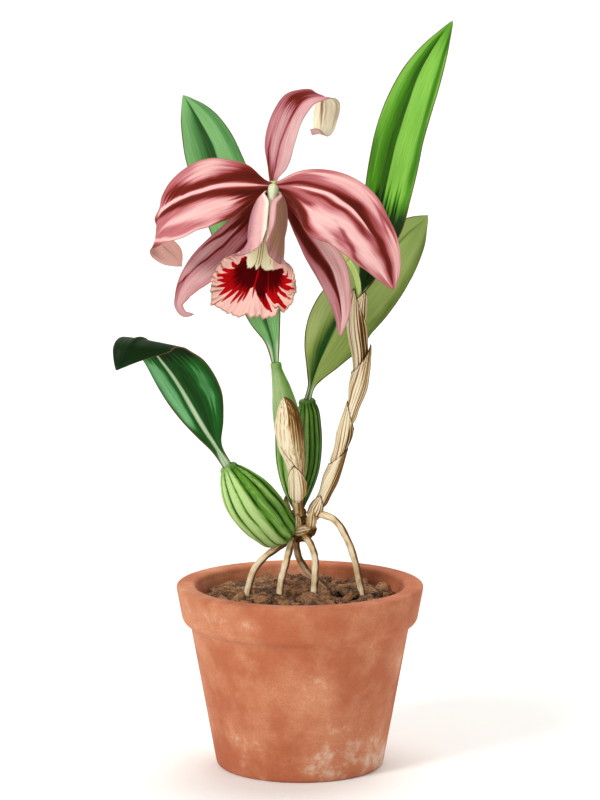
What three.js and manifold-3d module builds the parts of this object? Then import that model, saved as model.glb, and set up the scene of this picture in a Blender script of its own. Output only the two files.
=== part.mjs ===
// A flowering dwarf cattleya orchid in a plain clay pot of bark, about 28 cm tall.
// One bloom on a new shoot, three ribbed pseudobulbs with one leaf each, a sheathed bud, and
// aerial roots that arch from the rhizome down into the bark.
// Millimetres, +Z up, the bloom faces -Y. The origin is the centre of the pot's flat foot.
import * as THREE from "three";
import { mergeVertices } from "three/addons/utils/BufferGeometryUtils.js";
import Module from "manifold-3d";

const wasm = await Module();
wasm.setup();

// Driving dimensions of the pot: its outside, its wall and floor, the round inside corner between
// them, and the holes, which stand in a ring round the middle of the floor.
const POT_HEIGHT = 68;
const POT_FOOT_RADIUS = 31;
const POT_RIM_RADIUS = 46;
const POT_RIM_HEIGHT = 14;
const POT_RIM_PROUD = 2.6;
const POT_WALL = 4.5;
const POT_FLOOR = 5;
const POT_CORNER_REACH = 2.5;
const POT_CORNER_RISE = 3;
const DRAIN_HOLES = 3;
const DRAIN_HOLE_RADIUS = 4;
const DRAIN_CIRCLE = 15;

// What fills the pot. A chip's length, width and thickness lie between two sizes, and it lies up
// to the tilt, in radians, off level. Chips follow a spiral out from the middle.
const CROCK_DEPTH = 9;
const CROCK_ROUGHNESS = 1.2;
const BARK_TOP = 61;
const BARK_MOUND = 3;
const BARK_OVER_CROCKS = 1.6;
const CHIP_COUNT = 34;
const CHIP_LEAST = [7, 4.5, 2.6];
const CHIP_MOST = [11, 7, 4];
const CHIP_TILT = 0.35;
const CHIP_SPIRAL = 2.39996;
const CHIP_KEPT_OFF_WALL = 6.5;

// Clearance between pieces that touch in the real plant, between the pot and what fills it, and
// the wall of the thin pieces.
const GAP = 0.3;
const FILL_GAP = 0.5;
const PETAL_THICKNESS = 0.8;
const LEAF_THICKNESS = 1.5;
const SHEATH_THICKNESS = 0.6;
const LIP_THICKNESS = 0.7;
const STEM_RADIUS = 1.5;

// Stations along a blade, base to tip: x, y, z, half width on its left, half width on its right,
// the way its face looks (x, y, z), and how far it is dished, as a share of its half width.
const DORSAL_SEPAL = [
  [-9.5, -14.6, 218.4, 1.5, 1.5, 0, -1, 0, 0.1],
  [-8.6, -14.4, 223.5, 3.3, 4.1, 0.1, -1, 0.05, 0.2],
  [-7.6, -13.5, 230, 5.3, 5.2, 0.1, -1, 0.1, 0.2],
  [-6, -12.5, 236, 5.9, 5.3, 0.1, -1, 0.1, 0.2],
  [-4.2, -11.5, 241, 5.6, 5.3, 0.1, -1, 0.15, 0.2],
  [-1.8, -10, 245, 5, 5.4, 0.1, -0.95, 0.3, 0.2],
  [2, -7.5, 247.4, 3.6, 4.8, 0.1, -0.75, 0.65, 0.2],
  [6.6, -4.5, 247.8, 3.4, 4.2, 0.2, -0.35, 0.9, 0.15],
  [9.6, -0.8, 246.9, 3.8, 4.6, 0.35, 0.3, 0.88, 0.1],
  [9.8, 2.4, 243.6, 4.3, 4.8, 0.2, 0.85, 0.5, 0.1],
  [9.2, 3.4, 239.6, 4.3, 4.5, 0.1, 1, 0, 0.1],
  [8.8, 2.6, 236.2, 3.9, 3.7, 0, 0.9, -0.45, 0.1],
  [7.6, 0.4, 234.2, 3, 2.8, -0.1, 0.2, -0.95, 0.1],
  [5.6, -1.4, 234.8, 2, 2, -0.2, -0.75, -0.6, 0.05],
  [3.6, -2, 235.8, 0.4, 0.4, -0.2, -0.8, -0.5, 0],
];
const LEFT_PETAL = [
  [-12.2, -17.2, 216.4, 1.4, 1.4, 0, -1, 0, 0.1],
  [-16.5, -19, 216.4, 5.2, 6, 0, -1, 0.15, 0.15],
  [-24.5, -21, 216.2, 10.6, 9.9, 0, -1, 0.25, 0.15],
  [-33, -22, 214.6, 12.3, 11.4, 0, -1, 0.25, 0.1],
  [-40.4, -21.5, 211.4, 12, 9.4, -0.15, -1, 0.25, 0.1],
  [-45.8, -19.5, 206.6, 10.6, 7, -0.5, -0.85, 0.2, 0.1],
  [-50.4, -14, 200.8, 6.8, 5.4, -0.95, -0.4, 0.1, 0.1],
  [-52, -8, 195.6, 5, 5.2, -0.9, 0.4, 0, 0.1],
  [-50, -4.4, 191.8, 4.2, 5.8, -0.3, 0.95, 0, 0.1],
  [-46, -3, 188.8, 3.2, 4.4, 0, 1, 0, 0.1],
  [-43, -3, 186, 0.4, 0.4, 0, 1, 0, 0],
];
const RIGHT_PETAL = [
  [-7, -17.2, 216.4, 1.4, 1.4, 0, -1, 0, 0.1],
  [-1, -20, 216.5, 5.3, 6.6, 0, -1, 0.15, 0.15],
  [5.5, -23, 215.5, 7.6, 12.6, 0.05, -1, 0.2, 0.15],
  [12, -25, 212.5, 9.5, 16.2, 0.1, -1, 0.2, 0.15],
  [19, -25.5, 207.5, 10.1, 14.8, 0.15, -1, 0.2, 0.1],
  [25, -24, 200, 8.4, 12.3, 0.2, -1, 0.1, 0.1],
  [30, -21, 192, 6.4, 9.2, 0.3, -0.95, 0, 0.1],
  [32.5, -17, 184.5, 3.9, 5, 0.3, -0.95, -0.1, 0.1],
  [34, -13.5, 178.5, 0.4, 0.4, 0.3, -0.95, -0.2, 0],
];
const LEFT_SEPAL = [
  [-10.9, -13.4, 213.7, 1.3, 1.3, 0, -1, 0, 0.1],
  [-16, -10.5, 207, 3.9, 3.4, 0, -1, 0, 0.2],
  [-22.5, -8.5, 200.5, 6.7, 4.2, 0, -1, 0.1, 0.2],
  [-29.5, -7.5, 193.5, 7.8, 4.8, 0, -1, 0.1, 0.2],
  [-36.5, -7, 187, 7.6, 4.2, 0, -1, 0.15, 0.2],
  [-41.5, -7, 181.5, 6.2, 2.5, -0.1, -1, 0.1, 0.2],
  [-44, -7.5, 176, 4.2, 1.4, -0.2, -1, 0, 0.2],
  [-44.3, -8.2, 172, 2.2, 1.2, -0.2, -1, -0.1, 0.2],
  [-42.2, -9, 169.4, 1.3, 1.1, 0, -1, 0, 0.1],
  [-38.4, -9.6, 169.2, 0.4, 0.4, 0, -1, 0, 0],
];
const RIGHT_SEPAL = [
  [-7.5, -13.2, 213.2, 1.3, 1.3, 0, -1, 0, 0.1],
  [-3.5, -10.5, 207.5, 3.4, 2.2, 0, -1, 0, 0.2],
  [1, -9.5, 201, 4.8, 3.9, 0, -1, 0.1, 0.2],
  [6.5, -9, 193.5, 5.6, 5.9, 0, -1, 0.1, 0.2],
  [11.5, -9, 185.5, 5.6, 6.4, 0.1, -1, 0.1, 0.2],
  [14, -9.5, 177.5, 4.5, 5, 0.1, -1, 0, 0.2],
  [15, -11, 169.5, 3.1, 2.8, 0.05, -1, -0.1, 0.2],
  [14.5, -13, 161.5, 0.4, 0.4, 0, -1, -0.1, 0],
];
const TALL_LEAF = [
  [21.6, 5.2, 169.3, 1, 1, 0, -1, 0, 0.2],
  [22.1, 5.8, 175, 1.3, 1.3, 0, -1, 0, 0.3],
  [24.5, 7, 180.5, 2.8, 2.8, -0.1, -1, 0, 0.35],
  [27, 8, 190, 5.3, 5.6, -0.1, -1, 0, 0.3],
  [29.2, 9, 200.5, 7, 8.8, -0.1, -1, 0, 0.25],
  [31.5, 10.5, 211, 7.9, 9.3, -0.1, -1, 0, 0.2],
  [34.3, 12, 222, 9, 9.2, -0.1, -1, 0, 0.2],
  [37.2, 14, 232.5, 9.6, 8.5, -0.1, -1, 0, 0.2],
  [40.6, 16, 242.5, 9.4, 8, -0.1, -1, 0, 0.2],
  [44.8, 18, 253.5, 7.8, 7.2, -0.1, -1, 0, 0.2],
  [49.6, 19.5, 263, 5.2, 4.9, -0.1, -1, 0, 0.2],
  [56.2, 21, 274.5, 0.4, 0.4, -0.1, -1, 0, 0],
];
const UPPER_LEFT_LEAF = [
  [-9.2, 6.5, 150.2, 1.3, 1.3, 0, -1, 0, 0.4],
  [-10, 8, 157, 2.8, 2.5, 0, -1, 0, 0.4],
  [-12.5, 10.5, 165.5, 6.2, 5.6, 0, -1, 0, 0.3],
  [-15.6, 13.5, 175, 7.8, 7.8, 0, -1, 0, 0.2],
  [-19, 16.5, 185.5, 9, 9.2, 0, -1, 0, 0.2],
  [-22.8, 19.5, 197, 9.8, 10.2, 0, -1, 0.1, 0.2],
  [-26.8, 22, 208.5, 10.4, 10.8, 0, -1, 0.1, 0.2],
  [-31, 24.5, 220, 10.2, 10.6, 0, -1, 0.1, 0.2],
  [-35.2, 26.5, 231, 8.8, 9.2, 0, -1, 0.1, 0.2],
  [-39.8, 28, 240, 5, 6, 0, -1, 0.1, 0.2],
  [-43.5, 29.5, 247, 0.4, 0.4, 0, -1, 0.1, 0],
];
const BACK_LEAF = [
  [2.9, 13.6, 135.8, 1.3, 1.3, 0, -1, 0, 0.4],
  [5, 15, 142.5, 3.1, 2.5, 0, -1, 0, 0.4],
  [7.5, 17, 150, 5.6, 6.7, 0, -1, 0, 0.3],
  [11, 19.5, 158, 8.7, 12, 0, -1, 0, 0.2],
  [15.5, 22, 166, 10.1, 13.4, 0, -1, 0, 0.2],
  [22, 24.5, 174.5, 10.1, 14, 0, -1, 0, 0.2],
  [29, 27, 183, 9.5, 13.2, 0, -1, 0, 0.2],
  [36.5, 29, 191, 7.6, 10.4, 0, -1, 0, 0.2],
  [43, 30.5, 197.5, 4.8, 5.9, 0, -1, 0, 0.2],
  [48, 31.5, 202, 0.4, 0.4, 0, -1, 0, 0],
];
// This leaf folds over itself near its tip, so each station names its left edge, its midrib and
// its right edge, as x, y, z three times.
const LOWER_LEFT_LEAF = [
  [-27.7, -12.9, 113.8, -26.8, -12.1, 114.5, -25.4, -12.1, 115.3],
  [-31.9, -15.7, 119.7, -30.5, -14.5, 121, -28.4, -14.5, 122.4],
  [-37, -18.7, 125.4, -34.5, -17, 127.5, -27.7, -16.9, 131.2],
  [-42.6, -22, 132, -38.5, -19.5, 135, -27.9, -18.7, 140.7],
  [-47.6, -23.5, 138.8, -42.5, -21.5, 143, -29.8, -21.3, 146.8],
  [-52, -23.3, 146, -45.8, -23, 148.8, -32.6, -24, 152],
  [-56, -22.5, 153.6, -49.2, -24.5, 153.8, -35.4, -26.4, 155.4],
  [-59.6, -23.5, 159, -52.6, -27, 158.4, -38.4, -28.6, 157.6],
  [-62.8, -26.5, 162.8, -56, -30.5, 161.9, -41.4, -31, 159.6],
  [-65.2, -31, 162.3, -59, -34.5, 161.9, -44.4, -34, 160],
  [-66.2, -34.5, 159.8, -61, -37.3, 159.8, -47, -36, 158.4],
  [-66, -36.5, 156.8, -62.8, -38.3, 156.9, -54.5, -37.5, 156.4],
  [-65.6, -37.4, 154.4, -63.9, -38.4, 154.4, -60.6, -38, 154.3],
  [-65.3, -37.7, 152.6, -64.9, -37.9, 152.5, -64.5, -37.7, 152.6],
];

// Stations along a round piece, base to tip: x, y, z, radius.
const LEFT_BULB = [
  [-4.5, -3, 84.5, 1.9],
  [-6.5, -4, 87, 6.2],
  [-10.8, -6, 91.6, 8.6],
  [-15.8, -8, 97.6, 9.4],
  [-20.6, -10, 104, 8.5],
  [-24, -11.2, 109.5, 5.9],
  [-26.5, -12, 114, 2.7],
];
const CENTRE_BULB = [
  [-1.5, 3, 96, 1.5],
  [-2.5, 3.5, 102.5, 3.6],
  [-3.5, 4, 112.5, 5.2],
  [-4, 5, 123.5, 5.3],
  [-5.5, 5.5, 132.5, 4.8],
  [-7, 6, 140.5, 3.4],
  [-8.5, 6.5, 146.5, 2.2],
  [-9, 6.5, 149.5, 1.9],
];
const BACK_BULB = [
  [0, 8.5, 95, 1.6],
  [1, 11, 101, 3.4],
  [2.5, 13.5, 108.5, 4.6],
  [3, 15, 116.5, 5.1],
  [3, 15, 124.5, 4.9],
  [3, 14, 131, 3.9],
  [2.5, 13.5, 134.7, 2.8],
];
const BUD_SHOOT = [
  [-0.5, -4, 94, 2.3],
  [-1, -5, 99, 2.4],
  [-1.5, -6.5, 105.5, 3.2],
  [-3, -8, 113, 4.6],
  [-3.5, -9, 120.5, 5.3],
  [-4.5, -9.5, 126.5, 5.2],
  [-5, -9.5, 132, 4.1],
  [-5.5, -9, 136.5, 2.2],
  [-6, -9, 139, 0.5],
];
const FLOWER_SHOOT = [
  [0.5, -1, 87.5, STEM_RADIUS],
  [4.5, -2, 93.5, STEM_RADIUS],
  [8.5, -2.5, 100.5, STEM_RADIUS],
  [12, -2, 110, STEM_RADIUS],
  [15, -1, 119, STEM_RADIUS],
  [18, 1, 128.5, STEM_RADIUS],
  [21, 2.5, 139.5, STEM_RADIUS],
  [22, 3.5, 152.5, 1.7],
  [21.5, 4, 161, 1.8],
  [21.5, 4.4, 168.8, 2],
];
const SHOOT_TOP = [22, 4.8, 178, 2.4];
const PEDICEL = [
  [21.5, 3.1, 169.3, 0.9],
  [21.6, 3.1, 176, 0.9],
  [20.9, 3.5, 181, 1],
  [19, 3.4, 185.5, 1],
  [16.5, 3, 189, 1],
  [12.5, 2, 194, 1],
  [7, -0.5, 202, 1],
  [0.5, -4, 209.5, 1.2],
  [-5, -8.5, 214, 1.4],
  [-8.3, -11.8, 215.5, 1.9],
  [-9.5, -15.4, 216, 2.1],
];
const COLUMN = [
  [-9.5, -15.6, 216, 2.1],
  [-9.6, -17.4, 214.9, 2],
  [-9.8, -19.6, 212.6, 1.9],
  [-10.2, -22.4, 209, 2],
  [-10.7, -24.8, 204.8, 2.2],
  [-11.2, -26, 201.2, 1.6],
];
// The roots, as x, y, z. They are of one thickness, and thin to a blunt end in the bark.
const ROOT_RADIUS = 1.3;
const ROOT_END_RADIUS = 1.1;
const ROOTS = [
  [
    [-5, -3, 84], [-8.5, -5, 82], [-13, -6, 79], [-17, -7, 74],
    [-19, -8, 67.5], [-19.5, -8, 60], [-19.5, -8, 50],
  ],
  [
    [-2.5, -4.5, 86], [-4, -7, 81.5], [-5.5, -9, 76],
    [-7, -10, 70], [-7.5, -11, 62], [-8, -11, 50],
  ],
  [
    [1, -3.5, 87], [4, -6, 83.5], [5.5, -7.5, 79],
    [5.5, -9, 72], [5, -9, 62], [5, -9, 50],
  ],
  [
    [-1.5, 0, 84], [-0.5, 2, 77.5], [2.5, 4, 72],
    [8, 6, 66.5], [13, 7, 60.5], [17.5, 7, 50],
  ],
  [
    [6, -3, 95], [12.5, -6, 93], [17, -6.5, 86.5], [20, -7, 78.5],
    [22, -7, 70], [23.5, -7, 61.5], [25, -7, 50],
  ],
];

// The rhizome: its knot, and the stubs that carry the bulbs and shoots.
const RHIZOME_LIMBS = [
  [[-5.5, -2.6, 86.5, 2.4], [-2, -1.5, 87.2, 3.6], [1.5, -1, 88, 3.8], [4.6, -1.7, 91, 2.9]],
  [[-1, -1.5, 88, 3], [-0.8, -3, 91, 2.6], [-0.6, -3.8, 93.6, 2.5]],
  [[-1, 0, 88, 3], [-1.4, 2.2, 92, 2.6], [-1.5, 2.9, 95.2, 2.1]],
  [[-0.5, 1, 88, 3], [0, 6.2, 91, 2.6], [0, 8.4, 95, 2.1]],
];
// Small dry bracts on the rhizome: foot, tip, radius at the foot.
const RHIZOME_BRACTS = [
  [[-4.4, -1, 89.5], [-5.2, -0.4, 97.5], 1.9],
  [[-2.8, -3.4, 88.5], [-4.2, -4.8, 94], 1.6],
  [[-1, -4.2, 88.5], [-0.4, -6.6, 94.6], 1.7],
  [[3.5, -4, 87.5], [-2.6, -5.2, 88.8], 2],
  [[4.4, -3, 90], [4.6, -5, 97], 2.1],
];

// The dry sheaths on the flowering shoot, each clasping the foot of the next. In shares of the
// shoot's length: foot, where it starts to swell, where it is widest, throat, tip. Then how much
// wider than its grip it grows, and the bearing of its tip in degrees, from +X towards -Y.
const SHEATHS = [
  { foot: 0.07, swell: 0.07, full: 0.12, throat: 0.1, tip: 0.17, widen: 1.05, bearing: 120 },
  { foot: 0.12, swell: 0.17, full: 0.25, throat: 0.33, tip: 0.375, widen: 0.95, bearing: 20 },
  { foot: 0.33, swell: 0.37, full: 0.44, throat: 0.45, tip: 0.55, widen: 1, bearing: 160 },
  { foot: 0.46, swell: 0.55, full: 0.65, throat: 0.64, tip: 0.775, widen: 1.65, bearing: 10 },
  { foot: 0.63, swell: 0.7, full: 0.87, throat: 0.945, tip: 0.995, widen: 1.3, bearing: 115 },
  { foot: 0.86, swell: 0.86, full: 0.9, throat: 0.91, tip: 0.985, widen: 0.3, bearing: 55 },
];
const BUD_BRACT = { foot: 0.14, swell: 0.14, full: 0.3, throat: 0.22, tip: 0.42, widen: 0.2, bearing: 100 };
const SHEATH_PLAY = 0.33;
// How much room the fifth root leaves round the flowering shoot for its sheaths.
const SHEATH_ROOM = 2.4;

// The lip is rolled round the column, then opens into a ruffled fan. Down its tube: x, y, z,
// radius. Round its margin, from one free edge by way of the back to the other: x, y, z.
const LIP_TUBE = [
  [-9.8, -19.2, 213, 3.2],
  [-10.1, -21.5, 210.6, 4.9],
  [-10.7, -24, 207.4, 6],
  [-11.2, -25.8, 203.8, 6.5],
  [-11.9, -27, 200, 6.4],
  [-12.4, -27.6, 196.5, 6.2],
];
const LIP_MARGIN = [
  [-11.7, -33, 202.5],
  [-14, -33, 196.6],
  [-16.8, -32.5, 194.4],
  [-20, -31.5, 192.7],
  [-23.6, -30, 192.6],
  [-26.8, -28, 191.6],
  [-29.9, -26.5, 187.8],
  [-32.1, -26, 181.5],
  [-31.1, -26, 175],
  [-25, -26, 171],
  [-17.4, -26.5, 170],
  [-10.4, -26.5, 169.9],
  [-4.6, -26.5, 172.9],
  [-1.6, -26.5, 178.2],
  [-1.6, -27, 183.7],
  [-3.3, -28, 187.7],
  [-6.2, -30, 189.2],
  [-9, -31.5, 190.6],
  [-11.2, -32.5, 193.4],
  [-12, -33, 197.7],
  [-11.1, -33, 202.5],
];
// How far round the tube is rolled either way in degrees, the share of the lip that is tube, how
// much sooner its free edges leave the tube, how straight a line leaves it, and the wave of the
// margin to and fro and in and out.
const LIP_ROLL = 173;
const LIP_TUBE_SHARE = 0.5;
const LIP_EDGE_LEAVES_BY = 0.55;
const LIP_LEAVING_PULL = 0.9;
const LIP_ROWS = 11;
const LIP_COLUMNS = 28;
const RUFFLE_DEPTH = 1.3;
const RUFFLE_REACH = 0.4;

// How far along each row of numbers lies, by the distance between their first three.
function chords(rows) {
  const at = [0];
  for (let i = 1; i < rows.length; i++) {
    const step = Math.hypot(...[0, 1, 2].map((k) => rows[i][k] - rows[i - 1][k]));
    at.push(at[i - 1] + step);
  }
  return at;
}

// Smooth curve through rows of numbers. The slope at each row is the mean of its neighbours'
// slopes, weighted by the opposite spans.
function smooth(rows, at = chords(rows)) {
  const last = rows.length - 1;
  const rise = (i, k) => (rows[i + 1][k] - rows[i][k]) / (at[i + 1] - at[i]);
  const slope = (i, k) => {
    if (i === 0) return rise(0, k);
    if (i === last) return rise(last - 1, k);
    const before = at[i] - at[i - 1];
    const after = at[i + 1] - at[i];
    return (rise(i - 1, k) * after + rise(i, k) * before) / (before + after);
  };
  return (share) => {
    const s = THREE.MathUtils.clamp(share, 0, 1) * at[last];
    let i = 0;
    while (i < last - 1 && s > at[i + 1]) i++;
    const span = at[i + 1] - at[i];
    const t = (s - at[i]) / span;
    const t2 = t * t;
    const t3 = t2 * t;
    return rows[i].map((value, k) =>
      value * (2 * t3 - 3 * t2 + 1) +
      slope(i, k) * span * (t3 - 2 * t2 + t) +
      rows[i + 1][k] * (3 * t2 - 2 * t3) +
      slope(i + 1, k) * span * (t3 - t2));
  };
}

// The direction of a smooth curve at a share of its length.
function heading(curve, share) {
  const near = 0.01;
  const a = curve(Math.max(0, share - near));
  const b = curve(Math.min(1, share + near));
  return new THREE.Vector3(b[0] - a[0], b[1] - a[1], b[2] - a[2]).normalize();
}

// A closed skin over two like grids of points, joined along their free edges. wrap joins the
// last column to the first. Both faces are split alike.
function skin(outer, inner, wrap = false) {
  const rows = outer.length;
  const columns = outer[0].length;
  const points = [...outer.flat(), ...inner.flat()];
  const o = (i, j) => i * columns + (j % columns);
  const n = (i, j) => rows * columns + o(i, j);
  const faces = [];
  const quad = (a, b, c, d) => faces.push(a, b, c, a, c, d);
  for (let i = 0; i < rows - 1; i++) {
    for (let j = 0; j < (wrap ? columns : columns - 1); j++) {
      quad(o(i, j), o(i + 1, j), o(i + 1, j + 1), o(i, j + 1));
      faces.push(n(i, j), n(i + 1, j + 1), n(i + 1, j));
      faces.push(n(i, j), n(i, j + 1), n(i + 1, j + 1));
    }
    if (!wrap) {
      quad(o(i, 0), n(i, 0), n(i + 1, 0), o(i + 1, 0));
      quad(n(i, columns - 1), o(i, columns - 1), o(i + 1, columns - 1), n(i + 1, columns - 1));
    }
  }
  for (let j = 0; j < (wrap ? columns : columns - 1); j++) {
    quad(n(0, j), o(0, j), o(0, j + 1), n(0, j + 1));
    quad(o(rows - 1, j), n(rows - 1, j), n(rows - 1, j + 1), o(rows - 1, j + 1));
  }
  return outward(points, faces);
}

// A geometry from points and faces, turned so that its faces point out.
function outward(points, faces) {
  let volume = 0;
  for (let i = 0; i < faces.length; i += 3) {
    const [a, b, c] = [points[faces[i]], points[faces[i + 1]], points[faces[i + 2]]];
    volume += a.dot(b.clone().cross(c));
  }
  if (volume < 0) faces.reverse();
  const geometry = new THREE.BufferGeometry().setFromPoints(points);
  geometry.setIndex(faces);
  return geometry;
}

// A thin solid of even thickness on both sides of a grid of points, thinner at its edges.
function slab(grid, thickness, edge = 0.75) {
  const rows = grid.length;
  const columns = grid[0].length;
  const offset = (side) => grid.map((row, i) => row.map((point, j) => {
    const along = grid[Math.min(i + 1, rows - 1)][j].clone().sub(grid[Math.max(i - 1, 0)][j]);
    const across = row[Math.min(j + 1, columns - 1)].clone().sub(row[Math.max(j - 1, 0)]);
    const normal = along.cross(across).normalize();
    const rim = j === 0 || j === columns - 1 ? edge : 1;
    return point.clone().addScaledVector(normal, (side * thickness * rim) / 2);
  }));
  return skin(offset(1), offset(-1));
}

// A leaf, sepal or petal. At each station its cross-section is a parabola that rises towards
// both edges by the dish, with a crease of the given depth along the midrib.
function blade(stations, { steps, across, thickness, crease = 0 }) {
  const curve = smooth(stations);
  const grid = [];
  for (let i = 0; i <= steps; i++) {
    const share = i / steps;
    const [x, y, z, left, right, fx, fy, fz, dish] = curve(share);
    const way = heading(curve, share);
    const sideways = way.clone().cross(new THREE.Vector3(fx, fy, fz)).normalize();
    const facing = sideways.clone().cross(way).normalize();
    const row = [];
    for (let j = 0; j <= across; j++) {
      const v = (2 * j) / across - 1;
      const half = Math.max(0.3, v < 0 ? left : right);
      const lift = dish * half * v * v - crease * Math.exp(-((v / 0.18) ** 2)) * Math.min(1, half / 4);
      row.push(new THREE.Vector3(x, y, z).addScaledVector(sideways, v * half).addScaledVector(facing, lift));
    }
    grid.push(row);
  }
  return slab(grid, thickness);
}

// A leaf whose cross-sections run, as parabolas, through its left edge, midrib and right edge.
function foldedBlade(stations, { steps, across, thickness }) {
  const curve = smooth(stations);
  const grid = [];
  for (let i = 0; i <= steps; i++) {
    const row = curve(i / steps);
    const [left, rib, right] = [0, 3, 6].map((k) => new THREE.Vector3(...row.slice(k, k + 3)));
    const points = [];
    for (let j = 0; j <= across; j++) {
      const v = (2 * j) / across - 1;
      points.push(left.clone().multiplyScalar((v * (v - 1)) / 2)
        .addScaledVector(rib, 1 - v * v)
        .addScaledVector(right, (v * (v + 1)) / 2));
    }
    grid.push(points);
  }
  return slab(grid, thickness);
}

// Unit vectors across a curve, carried along it without twist.
function carriedFrames(curve, steps, start = new THREE.Vector3(1, 0, 0)) {
  const frames = [];
  let side = start.clone();
  for (let i = 0; i <= steps; i++) {
    const way = heading(curve, i / steps);
    side = side.clone().addScaledVector(way, -side.dot(way)).normalize();
    frames.push({ side, front: way.clone().cross(side).normalize(), way });
  }
  return frames;
}

// A round piece along stations, closed at both ends. ribs raises every other line of vertices.
function rod(stations, { steps, sides, grow = 0, ribs = 0 }) {
  const curve = smooth(stations);
  const frames = carriedFrames(curve, steps);
  const points = [];
  for (let i = 0; i <= steps; i++) {
    const [x, y, z, radius] = curve(i / steps);
    const { side, front, way } = frames[i];
    const beyond = i === 0 ? -grow : i === steps ? grow : 0;
    for (let j = 0; j < sides; j++) {
      const angle = (2 * Math.PI * j) / sides;
      const ridge = 1 + (j % 2 ? -ribs : ribs) * Math.sin((Math.PI * i) / steps);
      const r = (Math.max(0.3, radius) + grow) * ridge;
      points.push(new THREE.Vector3(x, y, z)
        .addScaledVector(way, beyond)
        .addScaledVector(side, r * Math.cos(angle))
        .addScaledVector(front, r * Math.sin(angle)));
    }
  }
  const ends = [0, steps].map((i) => {
    const [x, y, z] = curve(i / steps);
    return new THREE.Vector3(x, y, z).addScaledVector(frames[i].way, i ? grow : -grow);
  });
  points.push(...ends);
  const faces = [];
  const p = (i, j) => i * sides + (j % sides);
  for (let j = 0; j < sides; j++) {
    for (let i = 0; i < steps; i++) {
      faces.push(p(i, j), p(i, j + 1), p(i + 1, j + 1), p(i, j), p(i + 1, j + 1), p(i + 1, j));
    }
    faces.push(points.length - 2, p(0, j + 1), p(0, j));
    faces.push(points.length - 1, p(steps, j), p(steps, j + 1));
  }
  return outward(points, faces);
}

// A dry sheath wrapped round a shoot. It clasps the shoot at its foot, swells, and its mouth
// slants from the throat up to a tip on one side.
function sheath(stations, { foot, swell, full, throat, tip, widen, bearing }, { sides, rows }) {
  const curve = smooth(stations);
  const fine = 100;
  const frames = carriedFrames(curve, fine);
  const towards = THREE.MathUtils.degToRad(bearing);
  const wall = (extra) => {
    const grid = [];
    for (let i = 0; i <= rows; i++) {
      const row = [];
      for (let j = 0; j < sides; j++) {
        const angle = (2 * Math.PI * j) / sides;
        const facing = (1 + Math.cos(angle - towards)) / 2;
        const top = throat + (tip - throat) * facing ** 2;
        const share = foot + ((top - foot) * i) / rows;
        const [x, y, z, inside] = curve(share);
        const r = inside + SHEATH_PLAY + widen * THREE.MathUtils.smoothstep(share, swell, full) + extra;
        const { side, front } = frames[Math.round(share * fine)];
        row.push(new THREE.Vector3(x, y, z)
          .addScaledVector(side, r * Math.cos(angle))
          .addScaledVector(front, -r * Math.sin(angle)));
      }
      grid.push(row);
    }
    return grid;
  };
  return skin(wall(SHEATH_THICKNESS), wall(0), true);
}

// The lip. v runs from one free edge round the back to the other. Each line of v goes down the
// tube, less far towards the free edges, then swings out to its own place on the margin, which
// waves to and fro.
function lip() {
  const tube = smooth(LIP_TUBE);
  const margin = smooth(LIP_MARGIN, LIP_MARGIN.map((row, k) => k));
  const grid = [];
  for (let i = 0; i <= LIP_ROWS; i++) {
    const u = i / LIP_ROWS;
    const row = [];
    for (let j = 0; j <= LIP_COLUMNS; j++) {
      const v = (2 * j) / LIP_COLUMNS - 1;
      const share = (1 - LIP_EDGE_LEAVES_BY * v * v) * Math.min(1, u / LIP_TUBE_SHARE);
      const [x, y, z, radius] = tube(share);
      const way = heading(tube, share);
      const side = new THREE.Vector3(1, 0, 0).addScaledVector(way, -way.x).normalize();
      const front = way.clone().cross(side).normalize();
      const angle = THREE.MathUtils.degToRad(LIP_ROLL) * v;
      const point = new THREE.Vector3(x, y, z)
        .addScaledVector(side, radius * Math.sin(angle))
        .addScaledVector(front, -radius * Math.cos(angle));
      const t = Math.max(0, (u - LIP_TUBE_SHARE) / (1 - LIP_TUBE_SHARE));
      if (t > 0) {
        const edge = new THREE.Vector3(...margin((v + 1) / 2));
        const gone = edge.clone().sub(point);
        const leaving = way.multiplyScalar(LIP_LEAVING_PULL * gone.length());
        point.multiplyScalar(2 * t ** 3 - 3 * t ** 2 + 1)
          .addScaledVector(leaving, t ** 3 - 2 * t ** 2 + t)
          .addScaledVector(edge, 3 * t ** 2 - 2 * t ** 3)
          .addScaledVector(gone, t ** 3 - t ** 2);
        const wave = (j % 2 ? 1 : -1) * RUFFLE_DEPTH * t ** 3 * (1 - v ** 8);
        point.y += wave;
        point.addScaledVector(gone.setY(0).normalize(), RUFFLE_REACH * wave);
      }
      row.push(point);
    }
    grid.push(row);
  }
  return slab(grid, LIP_THICKNESS, 1);
}

// A closed geometry as a solid for cutting and joining, and a solid back as a geometry.
function solidOf(geometry) {
  const bare = geometry.index ? geometry.toNonIndexed() : geometry.clone();
  bare.deleteAttribute("normal");
  bare.deleteAttribute("uv");
  const merged = mergeVertices(bare, 1e-4);
  return new wasm.Manifold(new wasm.Mesh({
    numProp: 3,
    vertProperties: merged.attributes.position.array,
    triVerts: new Uint32Array(merged.index.array),
  }));
}

function geometryOf(solid) {
  const mesh = solid.getMesh();
  return new THREE.BufferGeometry()
    .setAttribute("position", new THREE.BufferAttribute(mesh.vertProperties, 3))
    .setIndex(new THREE.BufferAttribute(mesh.triVerts, 1));
}

// The largest body of a solid, without loose scraps.
function mainBody(solid) {
  return solid.decompose().sort((a, b) => b.volume() - a.volume())[0];
}

function join(solids) {
  return solids.reduce((whole, next) => whole.add(next));
}

function cut(geometry, tools) {
  return geometryOf(mainBody(tools.reduce((rest, tool) => rest.subtract(tool), solidOf(geometry))));
}

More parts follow.
